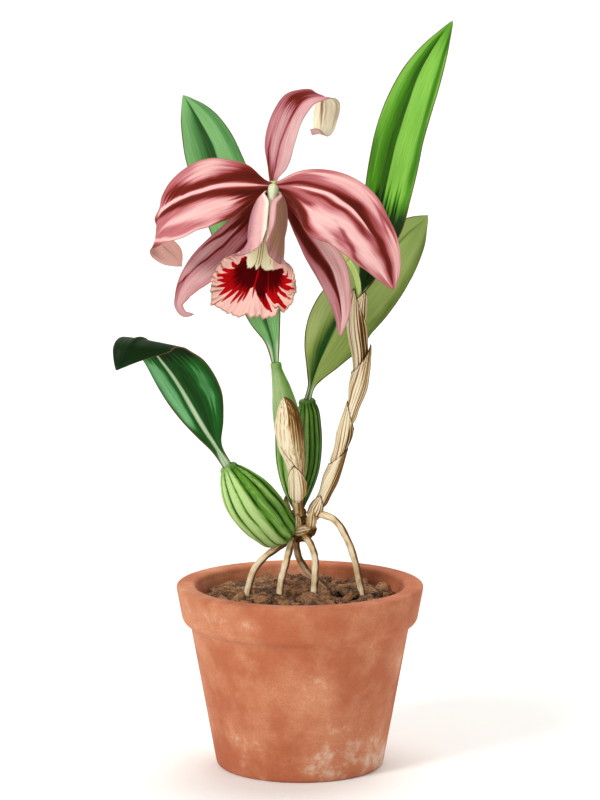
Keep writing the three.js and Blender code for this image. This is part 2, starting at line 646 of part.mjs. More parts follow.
// Radius of the tapered wall at a height, outside and inside.
function wallRadius(z) {
  const taper = (POT_RIM_RADIUS - POT_RIM_PROUD - POT_FOOT_RADIUS) / POT_HEIGHT;
  return POT_FOOT_RADIUS + taper * z;
}

function insideRadius(z) {
  return wallRadius(z) - POT_WALL;
}

// Pot: a tapered wall with a proud rim band, a flat foot and drain holes round a solid centre.
// Its edges are broken by small bevels.
function pot() {
  const bandFoot = POT_HEIGHT - POT_RIM_HEIGHT;
  const profile = [
    [0, 0],
    [POT_FOOT_RADIUS - 1, 0],
    [POT_FOOT_RADIUS, 1],
    [wallRadius(bandFoot) - 0.3, bandFoot - 1.5],
    [wallRadius(bandFoot) + POT_RIM_PROUD, bandFoot + 0.5],
    [POT_RIM_RADIUS, POT_HEIGHT - 2],
    [POT_RIM_RADIUS - 1.2, POT_HEIGHT],
    [insideRadius(POT_HEIGHT) + 1.2, POT_HEIGHT],
    [insideRadius(POT_HEIGHT), POT_HEIGHT - 1.5],
    [insideRadius(POT_FLOOR + POT_CORNER_RISE), POT_FLOOR + POT_CORNER_RISE],
    [insideRadius(POT_FLOOR) - POT_CORNER_REACH, POT_FLOOR],
    [0, POT_FLOOR],
  ];
  const holes = [];
  for (let k = 0; k < DRAIN_HOLES; k++) {
    const angle = (2 * Math.PI * k) / DRAIN_HOLES + Math.PI / 2;
    const hole = new THREE.CylinderGeometry(DRAIN_HOLE_RADIUS, DRAIN_HOLE_RADIUS, 4 * POT_FLOOR, 12);
    hole.rotateX(Math.PI / 2);
    hole.translate(DRAIN_CIRCLE * Math.cos(angle), DRAIN_CIRCLE * Math.sin(angle), 0);
    holes.push(solidOf(hole));
  }
  return cut(turned(profile, 32), holes);
}

// Spins a profile of radius and height round the pot's axis, as one closed body facing out.
function turned(profile, sides) {
  const lathed = new THREE.LatheGeometry(profile.map(([r, z]) => new THREE.Vector2(r, z)), sides);
  lathed.rotateX(Math.PI / 2);
  lathed.deleteAttribute("normal");
  lathed.deleteAttribute("uv");
  const merged = mergeVertices(lathed.toNonIndexed(), 1e-4);
  const { position } = merged.attributes;
  const points = [];
  for (let i = 0; i < position.count; i++) {
    points.push(new THREE.Vector3().fromBufferAttribute(position, i));
  }
  const faces = [];
  const index = merged.index.array;
  for (let i = 0; i < index.length; i += 3) {
    const [a, b, c] = [index[i], index[i + 1], index[i + 2]];
    if (a !== b && b !== c && a !== c) faces.push(a, b, c);
  }
  return outward(points, faces);
}

// Repeatable stream of numbers from 0 to 1.
function seeded(seed) {
  let state = seed;
  return () => {
    state = (state * 1664525 + 1013904223) % 4294967296;
    return state / 4294967296;
  };
}

// Broken clay over the drain holes: a low bed with an uneven top.
function crocks() {
  const random = seeded(11);
  const floor = POT_FLOOR + GAP;
  const top = floor + CROCK_DEPTH;
  const widest = insideRadius(floor + POT_CORNER_RISE) - FILL_GAP;
  const rings = [
    [insideRadius(floor) - POT_CORNER_REACH - GAP, floor],
    [widest, floor + POT_CORNER_RISE],
    [widest, top - CROCK_ROUGHNESS],
    [widest * 0.65, top],
    [widest * 0.3, top],
  ];
  const sides = 14;
  const last = rings.length - 1;
  const points = [new THREE.Vector3(0, 0, floor), new THREE.Vector3(0, 0, top)];
  rings.forEach(([radius, height], i) => {
    for (let j = 0; j < sides; j++) {
      const angle = (2 * Math.PI * j) / sides;
      const rough = i < 2 ? 0 : CROCK_ROUGHNESS * (2 * random() - 1);
      points.push(new THREE.Vector3(radius * Math.cos(angle), radius * Math.sin(angle), height + rough));
    }
  });
  const p = (i, j) => 2 + i * sides + (j % sides);
  const faces = [];
  for (let j = 0; j < sides; j++) {
    faces.push(0, p(0, j + 1), p(0, j));
    faces.push(1, p(last, j), p(last, j + 1));
    for (let i = 0; i < last; i++) {
      faces.push(p(i, j), p(i, j + 1), p(i + 1, j + 1), p(i, j), p(i + 1, j + 1), p(i + 1, j));
    }
  }
  return outward(points, faces);
}

// Bark: a packed bed with a mounded top, and chips that stand out of it, holed for the roots.
function bark(rootTools) {
  const random = seeded(7);
  const low = POT_FLOOR + GAP + CROCK_DEPTH + BARK_OVER_CROCKS;
  const widest = insideRadius(BARK_TOP) - FILL_GAP;
  const profile = [
    [0, low],
    [insideRadius(low) - FILL_GAP, low],
    [widest, BARK_TOP],
    [widest * 0.6, BARK_TOP + BARK_MOUND * 0.75],
    [0, BARK_TOP + BARK_MOUND],
  ];
  const pieces = [solidOf(turned(profile, 24))];
  for (let k = 0; k < CHIP_COUNT; k++) {
    const reach = (widest - CHIP_KEPT_OFF_WALL) * Math.sqrt((k + 0.5) / CHIP_COUNT);
    const angle = k * CHIP_SPIRAL;
    const size = CHIP_LEAST.map((least, i) => least + (CHIP_MOST[i] - least) * random());
    const chip = new THREE.BoxGeometry(...size);
    chip.rotateX(CHIP_TILT * (2 * random() - 1));
    chip.rotateY(CHIP_TILT * (2 * random() - 1));
    chip.rotateZ(2 * Math.PI * random());
    const height = BARK_TOP + BARK_MOUND * (1 - (reach / widest) ** 2) + 0.4 * random();
    chip.translate(reach * Math.cos(angle), reach * Math.sin(angle), height);
    pieces.push(solidOf(chip));
  }
  const whole = rootTools.reduce((rest, tool) => rest.subtract(tool), join(pieces));
  return geometryOf(mainBody(whole));
}

// Rhizome: the knot and its stubs, with small bracts, joined in one body.
function rhizome(grow = 0) {
  const limbs = RHIZOME_LIMBS.map((limb) => solidOf(rod(limb, { steps: 4, sides: 8, grow })));
  const bracts = RHIZOME_BRACTS.map(([foot, tip, radius]) => {
    const middle = foot.map((value, k) => (value + tip[k]) / 2);
    const stations = [[...foot, radius], [...middle, radius * 0.8], [...tip, 0.35]];
    return solidOf(rod(stations, { steps: 2, sides: 5, grow }));
  });
  return join([...limbs, ...bracts]);
}

// A root's stations: its route, with its radius at each.
function rootStations(route) {
  return route.map((place, k) => [...place, k === route.length - 1 ? ROOT_END_RADIUS : ROOT_RADIUS]);
}

const plant = new THREE.Group();

function add(name, geometry, material) {
  const mesh = new THREE.Mesh(geometry, material);
  mesh.name = name;
  plant.add(mesh);
}

const finish = (color, roughness) => new THREE.MeshStandardMaterial({ color, roughness, metalness: 0 });
const clay = finish(0xb4623f, 0.9);
const barkBrown = finish(0x6d4a30, 0.95);
const petalPink = finish(0xc9788a, 0.55);
const lipRed = finish(0xa32b35, 0.5);
const cream = finish(0xe6e0b0, 0.5);
const brightGreen = finish(0x57a033, 0.45);
const midGreen = finish(0x4f9a66, 0.45);
const oliveGreen = finish(0x6c8a4c, 0.5);
const darkGreen = finish(0x1f6a3c, 0.4);
const bulbGreen = finish(0x5c9440, 0.45);
const sheathTan = finish(0xc9b088, 0.8);
const rootTan = finish(0xd2c09c, 0.85);

const knot = rhizome();
const roomForKnot = rhizome(GAP);

// The left bulb and the knot are cut out of whatever starts in them, with their gap.
const bulbShape = { steps: 9, sides: 20, ribs: 0.035 };
const slimBulbShape = { steps: 9, sides: 14, ribs: 0.03 };
const rootShape = { steps: 9, sides: 6 };
const shootShape = { steps: 12, sides: 10 };
const roomForLeftBulb = solidOf(rod(LEFT_BULB, { ...bulbShape, grow: GAP }));
const roomForShoot = solidOf(rod(FLOWER_SHOOT, { ...shootShape, grow: SHEATH_ROOM }));

add("pot", pot(), clay);
add("drainage_crocks", crocks(), clay);
const rootHoles = ROOTS.map((route) => solidOf(rod(rootStations(route), { ...rootShape, grow: GAP })));
add("bark_mix", bark(rootHoles), barkBrown);
add("rhizome", geometryOf(knot), sheathTan);
ROOTS.forEach((route, k) => {
  const whole = rod(rootStations(route), rootShape);
  add(`root_${k + 1}`, cut(whole, [roomForKnot, roomForLeftBulb, roomForShoot]), rootTan);
});

add("pseudobulb_left", cut(rod(LEFT_BULB, bulbShape), [roomForKnot]), bulbGreen);
add("pseudobulb_centre", cut(rod(CENTRE_BULB, slimBulbShape), [roomForKnot]), bulbGreen);
add("pseudobulb_back", cut(rod(BACK_BULB, slimBulbShape), [roomForKnot]), bulbGreen);
add("bud_shoot", cut(rod(BUD_SHOOT, { steps: 10, sides: 12 }), [roomForKnot, roomForLeftBulb]), sheathTan);
add("bud_bract", sheath(BUD_SHOOT, BUD_BRACT, { sides: 12, rows: 4 }), sheathTan);
add("flowering_shoot", cut(rod(FLOWER_SHOOT, shootShape), [roomForKnot]), bulbGreen);
SHEATHS.forEach((shape, k) => {
  const whole = sheath([...FLOWER_SHOOT, SHOOT_TOP], shape, { sides: 10, rows: 5 });
  add(`shoot_sheath_${k + 1}`, cut(whole, [roomForKnot]), sheathTan);
});

const leafShape = { steps: 12, across: 6, thickness: LEAF_THICKNESS, crease: 0.8 };
add("leaf_tall", blade(TALL_LEAF, leafShape), brightGreen);
add("leaf_upper_left", blade(UPPER_LEFT_LEAF, leafShape), midGreen);
add("leaf_back", blade(BACK_LEAF, leafShape), oliveGreen);
add("leaf_lower_left", foldedBlade(LOWER_LEFT_LEAF, { ...leafShape, steps: 16 }), darkGreen);

const petalShape = { steps: 14, across: 6, thickness: PETAL_THICKNESS, crease: 0.4 };
const roomForColumn = solidOf(rod(COLUMN, { steps: 6, sides: 10, grow: GAP }));
add("pedicel_and_ovary", cut(rod(PEDICEL, { steps: 16, sides: 8 }), [roomForColumn]), brightGreen);
add("column", rod(COLUMN, { steps: 6, sides: 10 }), cream);
add("sepal_dorsal", blade(DORSAL_SEPAL, { ...petalShape, steps: 18 }), petalPink);
add("sepal_left", blade(LEFT_SEPAL, petalShape), petalPink);
add("sepal_right", blade(RIGHT_SEPAL, petalShape), petalPink);
add("petal_left", blade(LEFT_PETAL, { ...petalShape, steps: 18 }), petalPink);
add("petal_right", blade(RIGHT_PETAL, petalShape), petalPink);
add("lip", lip(), lipRed);

export default plant;
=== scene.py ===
"""A flowering dwarf cattleya in a plain clay pot of bark.

Every piece is a surface worked out from the same stations as its solid in the frame, in
millimetres, and put into its mesh in metres. Each point of a piece also stores where it would lie
if the piece were straightened out ("grain", in millimetres), and how dark it is ("tone"), so the
materials' fibres, veins and markings follow the piece.
"""

import math

import bpy
import numpy as np
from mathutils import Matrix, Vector


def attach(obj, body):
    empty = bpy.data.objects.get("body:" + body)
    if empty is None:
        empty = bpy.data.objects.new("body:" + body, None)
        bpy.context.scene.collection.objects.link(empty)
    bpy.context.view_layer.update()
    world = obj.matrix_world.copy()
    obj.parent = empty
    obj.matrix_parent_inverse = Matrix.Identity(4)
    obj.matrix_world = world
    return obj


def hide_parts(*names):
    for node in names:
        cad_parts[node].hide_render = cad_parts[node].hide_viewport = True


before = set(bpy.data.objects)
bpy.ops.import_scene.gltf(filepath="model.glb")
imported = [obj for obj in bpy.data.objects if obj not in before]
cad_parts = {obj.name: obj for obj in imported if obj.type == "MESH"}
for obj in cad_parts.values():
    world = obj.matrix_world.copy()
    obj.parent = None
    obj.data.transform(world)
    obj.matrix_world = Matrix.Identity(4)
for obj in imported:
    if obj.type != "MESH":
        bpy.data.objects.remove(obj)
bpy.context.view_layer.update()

bl_info = {
    "name": "Potted Cattleya",
    "version": (1, 0, 0),
    "blender": (4, 5, 0),
    "location": "View3D > Sidebar > Orchid",
    "description": "Builds a flowering dwarf cattleya in a clay pot of bark",
    "category": "Add Mesh",
}

MM = 0.001
FULL_TURN = 2 * math.pi


def filled(*rows):
    """Rows of numbers, where a row that ends early goes on as the one above it."""
    made = []
    for row in rows:
        made.append(row + (made[-1][len(row):] if made else ()))
    return made


# Stations along a blade, base to tip: x, y, z, half width on its left, half width on its right,
# the way its face looks (x, y, z), and how far it is dished, as a share of its half width.
DORSAL_SEPAL = filled(
    (-9.5, -14.4, 216.8, 1.2, 1.2, 0, -1, 0, 0.1), (-9.5, -14.6, 218.8, 1.6, 1.6),
    (-8.6, -14.4, 223.5, 3.3, 4.1, 0.1, -1, 0.05, 0.2), (-7.6, -13.5, 230, 5.3, 5.2, 0.1, -1, 0.1),
    (-6, -12.5, 236, 5.9, 5.3), (-4.2, -11.5, 241, 5.6, 5.3, 0.1, -1, 0.15),
    (-1.8, -10, 245, 5, 5.4, 0.1, -0.95, 0.3), (2, -7.5, 247.4, 3.6, 4.8, 0.1, -0.75, 0.65),
    (6.6, -4.5, 247.8, 3.4, 4.2, 0.2, -0.35, 0.9, 0.15), (9.6, -0.8, 246.9, 3.8, 4.6, 0.35, 0.3, 0.88, 0.1),
    (9.8, 2.4, 243.6, 4.3, 4.8, 0.2, 0.85, 0.5), (9.2, 3.4, 239.6, 4.3, 4.5, 0.1, 1, 0),
    (8.8, 2.6, 236.2, 3.9, 3.7, 0, 0.9, -0.45), (7.6, 0.4, 234.2, 3, 2.8, -0.1, 0.2, -0.95),
    (5.6, -1.4, 234.8, 2, 2, -0.2, -0.75, -0.6, 0.05), (3.6, -2, 235.8, 0.4, 0.4, -0.2, -0.8, -0.5, 0),
)
LEFT_PETAL = filled(
    (-10.2, -16.1, 216.2, 1.3, 1.3, 0, -1, 0, 0.1), (-12.2, -17.2, 216.4, 1.9, 2),
    (-16.5, -19, 216.4, 5.2, 6, 0, -1, 0.15, 0.15), (-24.5, -21, 216.2, 10.6, 9.9, 0, -1, 0.25),
    (-33, -22, 214.6, 12.3, 11.4, 0, -1, 0.25, 0.1), (-40.4, -21.5, 211.4, 12, 9.4, -0.15),
    (-45.8, -19.5, 206.6, 10.6, 7, -0.5, -0.85, 0.2), (-50.4, -14, 200.8, 6.8, 5.4, -0.95, -0.4, 0.1),
    (-52, -8, 195.6, 5, 5.2, -0.9, 0.4, 0), (-50, -4.4, 191.8, 4.2, 5.8, -0.3, 0.95),
    (-46, -3, 188.8, 3.2, 4.4, 0, 1), (-43, -3, 186, 0.4, 0.4, 0, 1, 0, 0),
)
RIGHT_PETAL = filled(
    (-8.8, -16.1, 216.2, 1.3, 1.3, 0, -1, 0, 0.1), (-7, -17.2, 216.4, 1.9, 2),
    (-1, -20, 216.5, 5.3, 6.6, 0, -1, 0.15, 0.15), (5.5, -23, 215.5, 7.6, 12.6, 0.05, -1, 0.2),
    (12, -25, 212.5, 9.5, 16.2, 0.1), (19, -25.5, 207.5, 10.1, 14.8, 0.15, -1, 0.2, 0.1),
    (25, -24, 200, 8.4, 12.3, 0.2, -1, 0.1), (30, -21, 192, 6.4, 9.2, 0.3, -0.95, 0),
    (32.5, -17, 184.5, 3.9, 5, 0.3, -0.95, -0.1), (34, -13.5, 178.5, 0.4, 0.4, 0.3, -0.95, -0.2, 0),
)
LEFT_SEPAL = filled(
    (-9.9, -13.6, 215, 1.3, 1.3, 0, -1, 0, 0.1), (-16, -10.5, 207, 3.9, 3.4, 0, -1, 0, 0.2),
    (-22.5, -8.5, 200.5, 6.7, 4.2, 0, -1, 0.1), (-29.5, -7.5, 193.5, 7.8, 4.8),
    (-36.5, -7, 187, 7.6, 4.2, 0, -1, 0.15), (-41.5, -7, 181.5, 6.2, 2.5, -0.1, -1, 0.1),
    (-44, -7.5, 176, 4.2, 1.4, -0.2, -1, 0), (-44.3, -8.2, 172, 2.2, 1.2, -0.2, -1, -0.1),
    (-42.2, -9, 169.4, 1.3, 1.1, 0, -1, 0, 0.1), (-38.4, -9.6, 169.2, 0.4, 0.4, 0, -1, 0, 0),
)
RIGHT_SEPAL = filled(
    (-8.6, -13.6, 214.8, 1.3, 1.3, 0, -1, 0, 0.1), (-3.5, -10.5, 207.5, 3.4, 2.2, 0, -1, 0, 0.2),
    (1, -9.5, 201, 4.8, 3.9, 0, -1, 0.1), (6.5, -9, 193.5, 5.6, 5.9), (11.5, -9, 185.5, 5.6, 6.4, 0.1),
    (14, -9.5, 177.5, 4.5, 5, 0.1, -1, 0), (15, -11, 169.5, 3.1, 2.8, 0.05, -1, -0.1),
    (14.5, -13, 161.5, 0.4, 0.4, 0, -1, -0.1, 0),
)
TALL_LEAF = filled(
    (21.6, 5.2, 169.3, 1, 1, 0, -1, 0, 0.2), (22.1, 5.8, 175, 1.3, 1.3, 0, -1, 0, 0.3),
    (24.5, 7, 180.5, 2.8, 2.8, -0.1, -1, 0, 0.35), (27, 8, 190, 5.3, 5.6, -0.1, -1, 0, 0.3),
    (29.2, 9, 200.5, 7, 8.8, -0.1, -1, 0, 0.25), (31.5, 10.5, 211, 7.9, 9.3, -0.1, -1, 0, 0.2),
    (34.3, 12, 222, 9, 9.2), (37.2, 14, 232.5, 9.6, 8.5), (40.6, 16, 242.5, 9.4, 8),
    (44.8, 18, 253.5, 7.8, 7.2), (49.6, 19.5, 263, 5.2, 4.9), (56.2, 21, 274.5, 0.4, 0.4, -0.1, -1, 0, 0),
)
UPPER_LEFT_LEAF = filled(
    (-9.1, 6.5, 149.2, 1.2, 1.2, 0, -1, 0, 0.4), (-10, 8, 157, 2.8, 2.5),
    (-12.5, 10.5, 165.5, 6.2, 5.6, 0, -1, 0, 0.3), (-15.6, 13.5, 175, 7.8, 7.8, 0, -1, 0, 0.2),
    (-19, 16.5, 185.5, 9, 9.2), (-22.8, 19.5, 197, 9.8, 10.2, 0, -1, 0.1), (-26.8, 22, 208.5, 10.4, 10.8),
    (-31, 24.5, 220, 10.2, 10.6), (-35.2, 26.5, 231, 8.8, 9.2), (-39.8, 28, 240, 5, 6),
    (-43.5, 29.5, 247, 0.4, 0.4, 0, -1, 0.1, 0),
)
BACK_LEAF = filled(
    (2.7, 13.5, 134.4, 1.2, 1.2, 0, -1, 0, 0.4), (4.4, 14.6, 140.2, 1.5, 1.5, 0, -1, 0, 0.5),
    (5.7, 15.5, 144, 3.4, 3.7, 0, -1, 0, 0.4), (8.2, 17.2, 150, 7.2, 7.5, 0, -1, 0, 0.3),
    (11.4, 19.5, 157.5, 10.1, 11.8, 0, -1, 0, 0.2), (15.5, 22, 166, 10.8, 13.4),
    (22, 24.5, 174.5, 10.1, 14), (29, 27, 183, 9.5, 13.2), (36.5, 29, 191, 7.6, 10.4),
    (43, 30.5, 197.5, 4.8, 5.9), (48, 31.5, 202, 0.4, 0.4, 0, -1, 0, 0),
)
# This leaf folds over itself near its tip, so each station names its left edge, its midrib and
# its right edge, as x, y, z three times.
LOWER_LEFT_LEAF = [
    (-27.6, -12.6, 112.8, -26.2, -11.9, 113.4, -24.8, -11.9, 114.4),
    (-31.9, -15.7, 119.7, -30.5, -14.5, 121, -28.4, -14.5, 122.4),
    (-37, -18.7, 125.4, -34.5, -17, 127.5, -27.7, -16.9, 131.2),
    (-42.6, -22, 132, -38.5, -19.5, 135, -27.9, -18.7, 140.7),
    (-47.6, -23.5, 138.8, -42.5, -21.5, 143, -29.8, -21.3, 146.8),
    (-52, -23.3, 146, -45.8, -23, 148.8, -32.6, -24, 152),
    (-56, -22.5, 153.6, -49.2, -24.5, 153.8, -35.4, -26.4, 155.4),
    (-59.6, -23.5, 159, -52.6, -27, 158.4, -38.4, -28.6, 157.6),
    (-62.8, -26.5, 162.8, -56, -30.5, 161.9, -41.4, -31, 159.6),
    (-65.2, -31, 162.3, -59, -34.5, 161.9, -44.4, -34, 160),
    (-66.2, -34.5, 159.8, -61, -37.3, 159.8, -47, -36, 158.4),
    (-66, -36.5, 156.8, -62.8, -38.3, 156.9, -54.5, -37.5, 156.4),
    (-65.6, -37.4, 154.4, -63.9, -38.4, 154.4, -60.6, -38, 154.3),
    (-65.3, -37.7, 152.6, -64.9, -37.9, 152.5, -64.5, -37.7, 152.6),
]

# Stations along a round piece, base to tip: x, y, z, radius.
LEFT_BULB = filled(
    (-4.5, -3, 84.5, 1.9), (-6.5, -4, 87, 6.2), (-10.8, -6, 91.6, 8.6), (-15.8, -8, 97.6, 9.4),
    (-20.6, -10, 104, 8.5), (-24, -11.2, 109.5, 5.9), (-26.5, -12, 114, 2.7),
)
CENTRE_BULB = filled(
    (-1.5, 3, 96, 1.5), (-2.5, 3.5, 102.5, 3.6), (-3.5, 4, 112.5, 5.2), (-4, 5, 123.5, 5.3),
    (-5.5, 5.5, 132.5, 4.8), (-7, 6, 140.5, 3.4), (-8.5, 6.5, 146.5, 2.2), (-9, 6.5, 149.5, 1.9),
)
BACK_BULB = filled(
    (0, 8.5, 95, 1.6), (1, 11, 101, 3.4), (2.5, 13.5, 108.5, 4.6), (3, 15, 116.5, 5.1), (3, 15, 124.5, 4.9),
    (3, 14, 131, 3.9), (2.5, 13.5, 134.7, 2.8),
)
BUD_SHOOT = filled(
    (-0.5, -4, 94, 2.1), (-0.9, -5, 99), (-0.9, -6.5, 105.5, 2.5), (-1.2, -7.3, 110, 3),
    (-1.9, -8, 115, 3.7), (-3.4, -9, 121.5, 4.9), (-4.1, -9.4, 127.5, 5), (-4.4, -9.5, 132.5, 4.1),
    (-5.1, -9, 136.5, 2.6), (-6, -9, 139, 0.5),
)
FLOWER_SHOOT = filled(
    (0.5, -1, 87.5, 1.5), (4.5, -2, 93.5), (8.5, -2.5, 100.5), (12, -2, 110), (15, -1, 119), (18, 1, 128.5),
    (21, 2.5, 139.5), (22, 3.5, 152.5, 1.7), (21.5, 4, 161, 1.8), (21.5, 4.4, 168.8, 2),
)
SHOOT_TOP = (22, 4.8, 178, 2.4)
PEDICEL = filled(
    (21.5, 3.1, 169.3, 0.9), (21.6, 3.1, 176), (20.9, 3.5, 181, 1), (19, 3.4, 185.5), (16.5, 3, 189),
    (12.5, 2, 194), (7, -0.5, 202), (0.5, -4, 209.5, 1.2), (-5, -8.5, 214, 1.4), (-8.3, -11.8, 215.5, 1.9),
    (-9.5, -15.4, 216, 2.1),
)
COLUMN = filled(
    (-9.5, -15.6, 216, 2.1), (-9.6, -17.4, 214.9, 2), (-9.8, -19.6, 212.6, 1.9), (-10.2, -22.4, 209, 2),
    (-10.7, -24.8, 204.8, 2.2), (-11.2, -26, 201.2, 1.6),
)
ROOT_RADIUS = 1.3
ROOTS = [
    [(-5, -3, 84), (-8.5, -5, 82), (-13, -6, 79), (-17, -7, 74), (-19, -8, 67.5), (-19.5, -8, 60),
    (-19.5, -8, 50)],
    [(-2.5, -4.5, 86), (-4, -7, 81.5), (-5.5, -9, 76), (-7, -10, 70), (-7.5, -11, 62), (-8, -11, 50)],
    [(1, -3.5, 87), (4, -6, 83.5), (5.5, -7.5, 79), (5.5, -9, 72), (5, -9, 62), (5, -9, 50)],
    [(-1.5, 0, 84), (-0.5, 2, 77.5), (2.5, 4, 72), (8, 6, 66.5), (13, 7, 60.5), (17.5, 7, 50)],
    [(6, -3, 95), (12.5, -6, 93), (17, -6.5, 86.5), (20, -7, 78.5), (22, -7, 70), (23.5, -7, 61.5),
    (25, -7, 50)],
]
# The rhizome's limbs as stations, and its bracts as foot, tip, radius at the foot and halfway.
RHIZOME_LIMBS = [
    [(-5.5, -2.6, 86.5, 2.4), (-2, -1.5, 87.2, 3.6), (1.5, -1, 88, 3.8), (4.6, -1.7, 91, 2.9)],
    [(-1, -1.5, 88, 3), (-0.8, -3, 91, 2.6), (-0.6, -3.8, 93.6, 2.5)],
    [(-1, 0, 88, 3), (-1.4, 2.2, 92, 2.6), (-1.5, 2.9, 95.2, 2.1)],
    [(-0.5, 1, 88, 3), (0, 6.2, 91, 2.6), (0, 8.4, 95, 2.1)],
]
RHIZOME_BRACTS = [
    ((-4.4, -1, 89.5), (-5.4, -1, 101), 1.6, 1.9), ((-3.2, -3.4, 88.5), (-3.6, -4.8, 94.5), 1.3, 1.4),
    ((-1.2, -4.4, 89), (-0.8, -6.4, 95.4), 1.4, 1.6), ((-4, -4.2, 88.2), (4.6, -4.6, 89.4), 0.7, 2.2),
    ((3.6, -3.4, 88.5), (5.2, -4.6, 98), 1.6, 2),
]
# The dry sheaths, in shares of their shoot's length: foot, where it starts to swell, where it is
# widest, throat, tip. Then how much it widens in mm, the bearing of its tip in degrees, and how
# much of its swelling it loses again towards the tip. SHEATH_SHADES is how much painted shade
# darkens the right side of each.
SHEATHS = [
    (0.07, 0.07, 0.12, 0.1, 0.17, 1.05, 120, 0.3), (0.12, 0.17, 0.25, 0.29, 0.375, 0.95, 20, 0.25),
    (0.285, 0.35, 0.43, 0.45, 0.55, 1.05, 160, 0.25), (0.46, 0.52, 0.63, 0.665, 0.775, 1.55, 10, -0.35),
    (0.64, 0.67, 0.87, 0.82, 0.995, 1.85, 135, 0.8), (0.86, 0.86, 0.9, 0.91, 0.985, 0.3, 55, 0),
]
SHEATH_SHADES = (0.2, 0.35, 0.3, 0.4, 0.55, 0.3)
BUD_BRACT = (0.13, 0.13, 0.25, 0.22, 0.46, 0.3, 97, 0.5)
# The gap between a shoot and its sheath.
SHEATH_PLAY = 0.33
# Rows and columns of points: a sheath, a leaf, the folded leaf, a petal or sepal, and the lip.
SHEATH_GRID = (46, 92)
LEAF_GRID = (120, 64)
FOLDED_GRID = (150, 70)
PETAL_GRID = (160, 96)
LIP_GRID = (84, 476)

# The lip: down its tube as x, y, z, radius, then round its margin from one free edge by way of
# the back to the other.
LIP_TUBE = [
    (-9.8, -19.2, 213, 3.2), (-10.1, -21.5, 210.6, 4.9), (-10.7, -24, 207.4, 6), (-11.2, -25.8, 203.8, 6.5),
    (-11.9, -27, 200, 6.4), (-12.4, -27.6, 196.5, 6.2),
]
LIP_MARGIN = [
    (-11.7, -33, 202.5), (-14, -33, 196.6), (-16.8, -32.5, 194.4), (-20, -31.5, 192.7), (-23.6, -30, 192.4),
    (-26.8, -28, 191.4), (-29.9, -26.5, 187.8), (-32.1, -26, 181.5), (-31.1, -26, 175), (-25, -26, 171),
    (-17.4, -26.5, 170), (-10.4, -26.5, 169.9), (-4.6, -26.5, 172.9), (-1.6, -26.5, 178.2),
    (-1.6, -27, 183.7), (-3.2, -28, 188.6), (-6.2, -30, 189.4), (-9, -31.5, 190.6), (-11.2, -32.5, 193.4),
    (-12, -33, 197.7), (-11.1, -33, 202.5),
]
# How far the lip rolls round its tube to each side, in degrees, and how much less at its top. Where
# its lines leave the tube, how strongly they go on down it, and how late they swing out.
LIP_ROLL = 178
LIP_OPENING = 40
LIP_TUBE_SHARE = 0.5
LIP_EDGE_LEAVES_BY = 0.55
LIP_LEAVING_PULL = 0.9
LIP_SIDE_PULL = 1.3
LIP_SWING_POWER = 1.35
LIP_CORNER_SWING = 2.4
LIP_RUFFLE = 0.8
# Its keels as place in v and height in mm, and its notches as place in v, width in v, depth in mm.
LIP_KEELS = ((-0.104, 0.7), (-0.062, 0.7))
LIP_KEEL_WIDTH = 0.012
LIP_NOTCHES = (
    (0.148, 0.012, 2.2), (-0.028, 0.009, 1.3), (-0.1, 0.006, 0.7), (0.04, 0.007, 0.9), (0.09, 0.006, 0.6),
    (-0.24, 0.012, 1), (-0.205, 0.012, -0.9), (0.36, 0.016, 1.1), (-0.36, 0.012, 1), (-0.3, 0.01, 0.9),
    (-0.42, 0.01, 0.9), (0.28, 0.01, 0.8), (0.22, 0.01, 0.7),
)
# The dark lines between the keels, by v, and their half width.
LIP_LINES = (-0.125, -0.083, -0.041)
LIP_LINE_WIDTH = 0.006
# On the front lobe, by v: where the crimson starts, and where its solid part ends, as t (0 at the
# tube, 1 at the margin). Then its rays: v and t at the root, v and t at the tip, half width in v.
# One ray is the red line down the middle, and the next is the darkest.
LIP_CRIMSON_TOP = (
    (-0.47, 0.65), (-0.455, 0.56), (-0.42, 0.44), (-0.35, 0.32), (-0.29, 0.355), (-0.207, 0.4),
    (-0.157, 0.365), (-0.132, 0.29), (-0.122, 0.33), (-0.09, 0.37), (-0.06, 0.33), (-0.05, 0.27),
    (-0.008, 0.335), (0.04, 0.355), (0.124, 0.36), (0.207, 0.39), (0.29, 0.43), (0.37, 0.52), (0.438, 0.67),
)
LIP_SOLID_END = (
    (-0.46, 0.66), (-0.4, 0.54), (-0.33, 0.58), (-0.28, 0.68), (-0.2, 0.74), (-0.1, 0.66), (-0.03, 0.56),
    (0.02, 0.66), (0.09, 0.66), (0.15, 0.74), (0.2, 0.62), (0.3, 0.56), (0.42, 0.58),
)
LIP_RAYS = (
    (-0.33, 0.35, -0.45, 0.7, 0.042), (-0.31, 0.5, -0.42, 0.82, 0.021), (-0.29, 0.56, -0.372, 0.88, 0.021),
    (-0.265, 0.6, -0.34, 0.92, 0.022), (-0.245, 0.65, -0.305, 0.91, 0.018),
    (-0.22, 0.66, -0.265, 0.9, 0.018), (-0.2, 0.66, -0.212, 0.88, 0.026),
    (-0.157, 0.66, -0.172, 0.92, 0.014), (-0.125, 0.62, -0.13, 0.88, 0.014),
    (-0.1, 0.62, -0.1, 0.85, 0.013), (-0.08, 0.6, -0.077, 0.8, 0.012), (-0.05, 0.4, -0.025, 0.75, 0.014),
    (-0.01, 0.52, 0.107, 0.93, 0.042), (0.085, 0.55, 0.197, 0.98, 0.042), (0.165, 0.6, 0.25, 0.93, 0.019),
    (0.2, 0.55, 0.315, 0.93, 0.028), (0.2, 0.45, 0.36, 0.87, 0.042), (0.15, 0.38, 0.42, 0.8, 0.034),
)
LIP_MIDDLE_RAY = 11
LIP_DARK_RAY = 12

